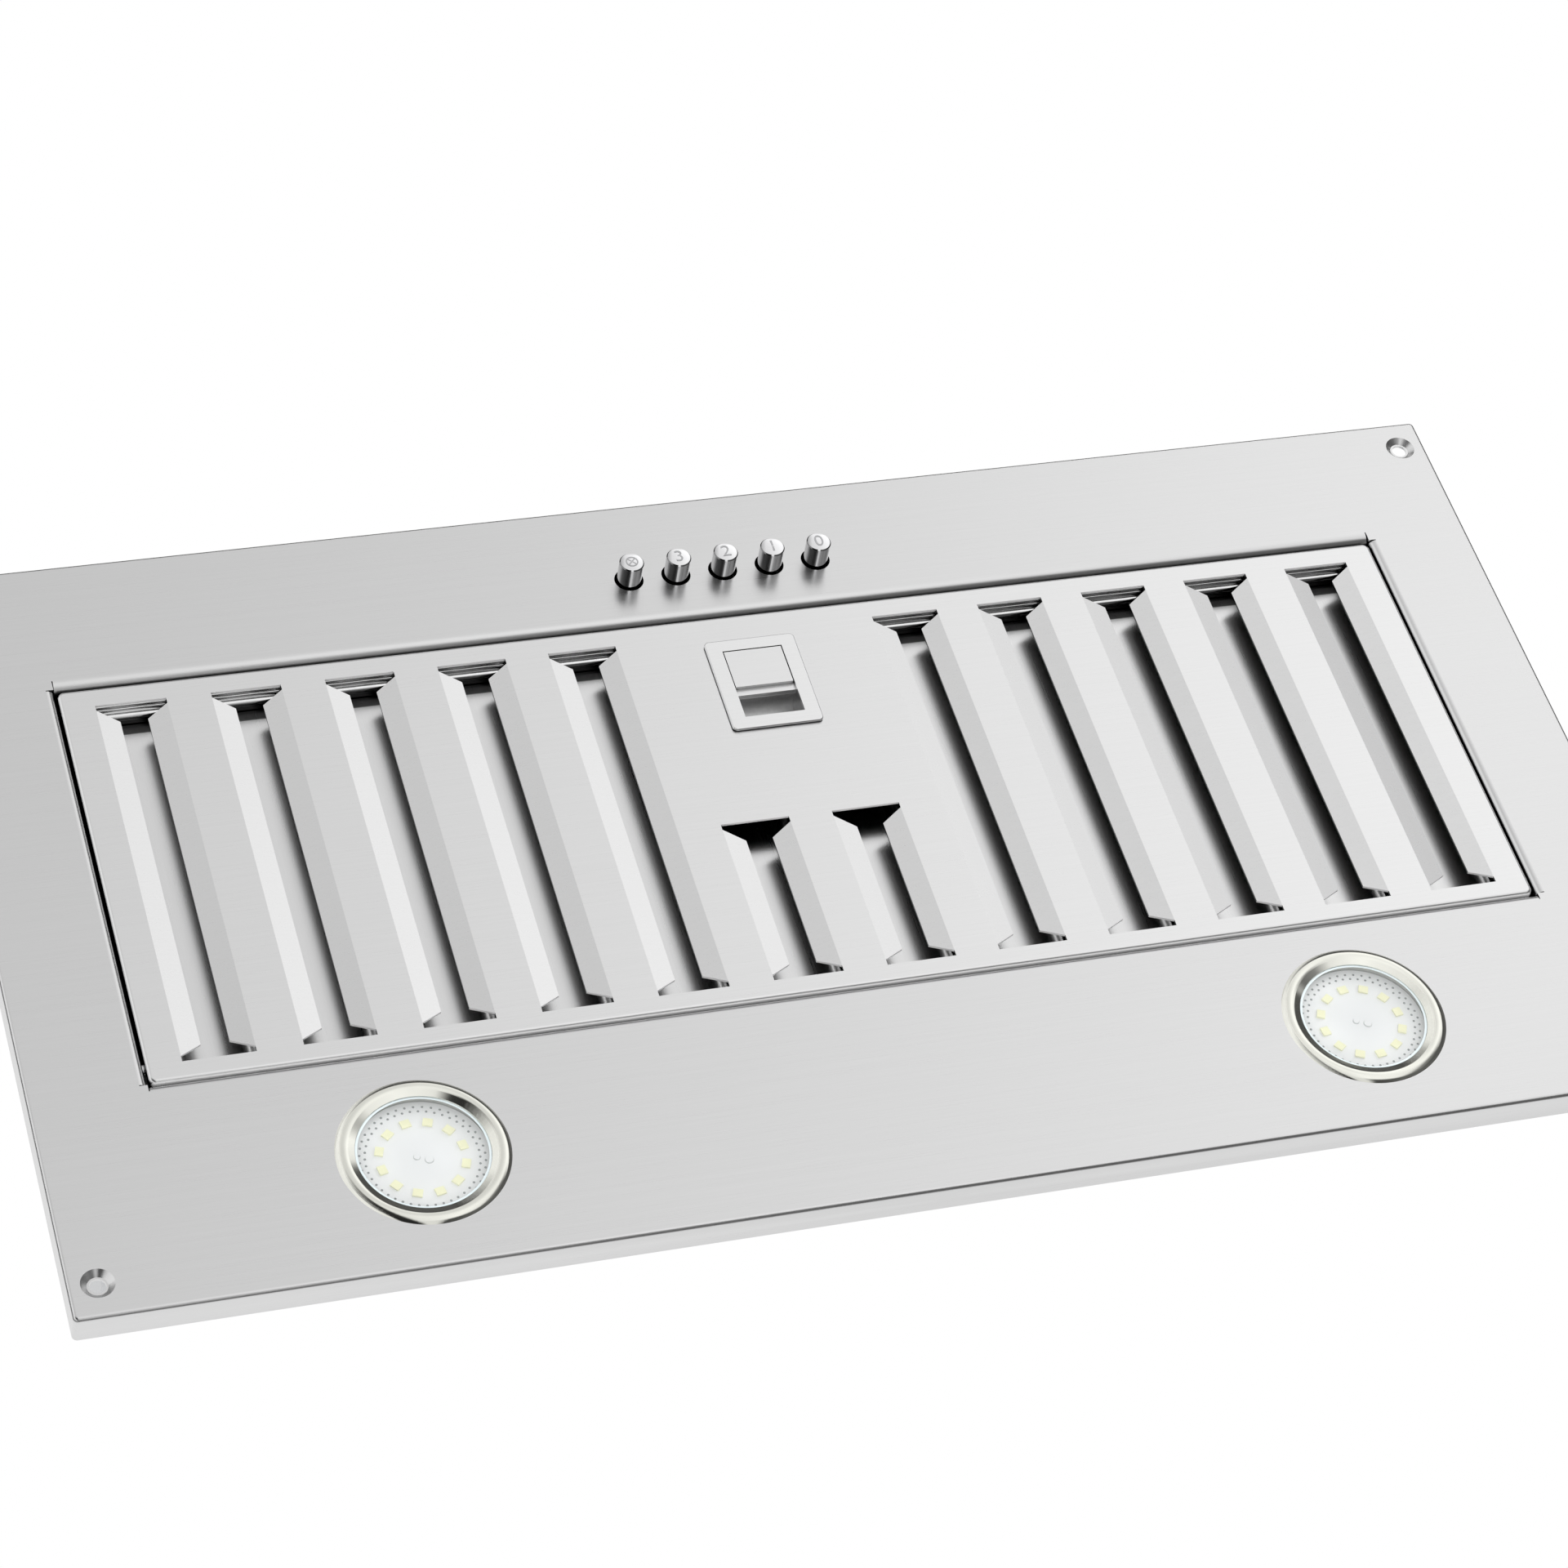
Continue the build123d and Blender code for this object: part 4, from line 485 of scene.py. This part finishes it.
# Marks on the buttons, which end just short of the tips: a ringed cross and four numbers
MARK_LIFT = 0.001 * MM
MARK_TOP = 0.4 * MM
RING_INNER, RING_OUTER = 1.65 * MM, 2.1 * MM
RING_SIDES = 32
BAR_WIDTH = 0.42 * MM
NUMBER_SIZE = 6.6 * MM
NUMBER_HALF_DEPTH = 0.2 * MM
mark_metal = satin_metal(
    "mark_metal", (0.50, 0.50, 0.51), 0.16, spot=900.0, depth=4 * MICRON,
)


def light_mark(x, y, tip):
    """Ring with a diagonal cross in it."""
    top, depth = tip + MARK_TOP, MARK_TOP - MARK_LIFT
    bm = bmesh.new()
    annulus(bm, x, y, top, RING_INNER, RING_OUTER, depth, RING_SIDES)
    for turn in (math.pi / 4, -math.pi / 4):
        bar = bmesh.ops.create_cube(bm, size=1.0)["verts"]
        place = (
            Matrix.Translation((x, y, top - depth / 2))
            @ Matrix.Rotation(turn, 4, "Z")
            @ Matrix.Diagonal((2 * RING_INNER, BAR_WIDTH, depth, 1.0))
        )
        bmesh.ops.transform(bm, matrix=place, verts=bar)
    piece("mark_light", bm, mark_metal, "button_light")


def number_mark(name, x, y, tip):
    """Number that reads from below."""
    curve = bpy.data.curves.new(f"mark_{name}", "FONT")
    curve.body = name
    curve.align_x, curve.align_y = "CENTER", "CENTER"
    curve.size = NUMBER_SIZE
    curve.extrude = NUMBER_HALF_DEPTH
    text = linked(f"mark_{name}_text", curve)
    bpy.context.view_layer.update()
    shown = text.evaluated_get(bpy.context.evaluated_depsgraph_get())
    mesh = bpy.data.meshes.new_from_object(shown)
    bpy.data.objects.remove(text)
    middle = Matrix.Translation((x, y, tip + MARK_LIFT + NUMBER_HALF_DEPTH))
    mesh.transform(middle @ Matrix.Rotation(math.pi, 4, "X"))
    obj = linked(f"mark_{name}", mesh)
    mesh.materials.clear()
    mesh.materials.append(mark_metal)
    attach(obj, f"button_{name}")


for name in BUTTONS:
    cx, cy, tip = underside(*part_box(f"button_{name}"))
    if name == "light":
        light_mark(cx, cy, tip)
    else:
        number_mark(name, cx, cy, tip)

# Springs, as copies with meshes of their own in place of the solids' springs
for name in BUTTONS:
    cx, cy, _ = underside(*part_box(f"button_{name}"))
    bm = bmesh.new()
    bm.from_mesh(nodes["switch_springs"].data)
    others = [v for v in bm.verts if abs(v.co.x - cx) > BUTTON_PITCH / 2]
    bmesh.ops.delete(bm, geom=others, context="VERTS")
    coil = piece(f"button_spring_{name}", bm, slots["spring_steel"], "hood")
    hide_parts("switch_springs")
    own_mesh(coil)

bm = bmesh.new()
bm.from_mesh(nodes["latch_spring"].data)
coil = piece("latch_coil", bm, slots["spring_steel"], "filter")
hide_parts("latch_spring")
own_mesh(coil)


# Stage: floor, world, lights and camera
FLOOR_Z = -1.6
FLOOR_HALF = 9.0
FLOOR_CORNERS = ((-1, -1), (1, -1), (1, 1), (-1, 1))
# What the metal sees of the floor, as brightness from left to right in four strips.
# Places are shares of the way from -GLOW_REACH to GLOW_REACH.
GLOW_REACH = 4.0
FAR_GLOW = ((0.30, 0.90), (0.42, 0.08))
FRONT_GLOW = (
    (0.30, 0.95), (0.40, 0.72), (0.5, 0.73), (0.56, 0.84), (0.65, 1.13),
    (0.72, 1.13), (0.775, 1.0), (0.831, 1.0), (0.869, 0.08),
)
NEAR_GLOW = (
    (0.26, 0.90), (0.29, 0.03), (0.435, 0.03), (0.46, 0.85),
    (0.55, 1.05), (0.64, 0.90), (0.70, 0.25), (0.83, 0.10),
)
REAR_GLOW = (
    (0.29, 0.85), (0.32, 0.02), (0.435, 0.02), (0.46, 0.80),
    (0.515, 0.80), (0.55, 0.06), (0.7, 0.12),
)
# From front to rear: where each strip takes over from the one before it
STRIPS = (((-3.4, -2.6), FRONT_GLOW), ((-0.9, -0.2), NEAR_GLOW), ((0.7, 1.15), REAR_GLOW))
# What the metal sees of the room, as brightness from straight down to straight up
ROOM_GLOW = ((0.45, 0.10), (0.62, 0.10), (0.76, 0.80), (1.0, 0.9))

bm = bmesh.new()
bm.faces.new(
    [bm.verts.new((x * FLOOR_HALF, y * FLOOR_HALF, FLOOR_Z)) for x, y in FLOOR_CORNERS]
)
mesh = bpy.data.meshes.new("floor")
bm.to_mesh(mesh)
bm.free()
floor = linked("floor", mesh)
mat, nt, bsdf = tree("floor")
bsdf.inputs["Base Color"].default_value = (0.88, 0.88, 0.88, 1.0)
bsdf.inputs["Roughness"].default_value = 0.9
reach = along_axis(nt, "X", -GLOW_REACH, GLOW_REACH)
strips = ramp(nt, reach, *FAR_GLOW)
for edge, stops in STRIPS:
    step = put(nt, "ShaderNodeMix", data_type="RGBA")
    nt.links.new(along_axis(nt, "Y", *edge), step.inputs["Factor"])
    nt.links.new(strips, step.inputs[MIX_A])
    nt.links.new(ramp(nt, reach, *stops), step.inputs[MIX_B])
    strips = step.outputs[MIX_RESULT]
glow = put(nt, "ShaderNodeEmission")
nt.links.new(strips, glow.inputs["Color"])
path = put(nt, "ShaderNodeLightPath")
shown = mix_shaders(
    nt, path.outputs["Is Glossy Ray"], bsdf.outputs["BSDF"], glow.outputs["Emission"],
)
nt.links.new(shown, nt.nodes["Material Output"].inputs["Surface"])
mesh.materials.append(mat)

world = bpy.data.worlds.new("studio")
scene.world = world
world.use_nodes = True
nt = world.node_tree
nt.nodes.clear()
out = put(nt, "ShaderNodeOutputWorld")
path = put(nt, "ShaderNodeLightPath")
even = put(nt, "ShaderNodeBackground", Color=(0.85, 0.85, 0.85, 1.0))
white = put(nt, "ShaderNodeBackground", Color=(1.0, 1.0, 1.0, 1.0))
room = put(nt, "ShaderNodeBackground")
height = along_axis(nt, "Z", -1.0, 1.0, "Generated")
nt.links.new(ramp(nt, height, *ROOM_GLOW), room.inputs["Color"])
soft = mix_shaders(
    nt, path.outputs["Is Glossy Ray"], even.outputs["Background"], room.outputs["Background"],
)
shown = mix_shaders(nt, path.outputs["Is Camera Ray"], soft, white.outputs["Background"])
nt.links.new(shown, out.inputs["Surface"])


def area_light(name, place, target, size, power):
    """Square lamp that is aimed at a point and not seen itself."""
    data = bpy.data.lights.new(name, "AREA")
    data.size = size
    data.energy = power
    obj = linked(name, data)
    obj.location = place
    obj.rotation_euler = (Vector(target) - Vector(place)).to_track_quat("-Z", "Y").to_euler()
    obj.visible_camera = False
    obj.visible_glossy = False


area_light("key", place=(1.7, -0.9, -1.25), target=(0, 0, 0), size=1.2, power=22.0)
area_light("rear", place=(-0.9, 1.6, -1.2), target=(0, 0, 0), size=1.0, power=8.0)
area_light("top", place=(0.8, -1.4, 2.2), target=(0, 0, 0.1), size=1.6, power=30.0)

# Camera, as worked out from the photograph; its sensor and lens are in millimetres
CAMERA_PLACE = (-0.4202, 0.8785, -1.1179)
CAMERA_RIGHT = (0.9530, 0.2696, -0.1380)
CAMERA_UP = (0.1190, -0.7523, -0.6480)
SENSOR_WIDTH, FOCAL_LENGTH = 36.0, 108.1
camera_data = bpy.data.cameras.new("camera")
camera_data.sensor_width = SENSOR_WIDTH
camera_data.lens = FOCAL_LENGTH
camera_data.clip_start, camera_data.clip_end = 0.01, 50.0
camera = linked("camera", camera_data)
right = Vector(CAMERA_RIGHT).normalized()
back = right.cross(Vector(CAMERA_UP).normalized()).normalized()
up = back.cross(right)
turn = Matrix((right, up, back)).transposed().to_4x4()
camera.matrix_world = Matrix.Translation(CAMERA_PLACE) @ turn
scene.camera = camera

scene.view_settings.view_transform = "Standard"
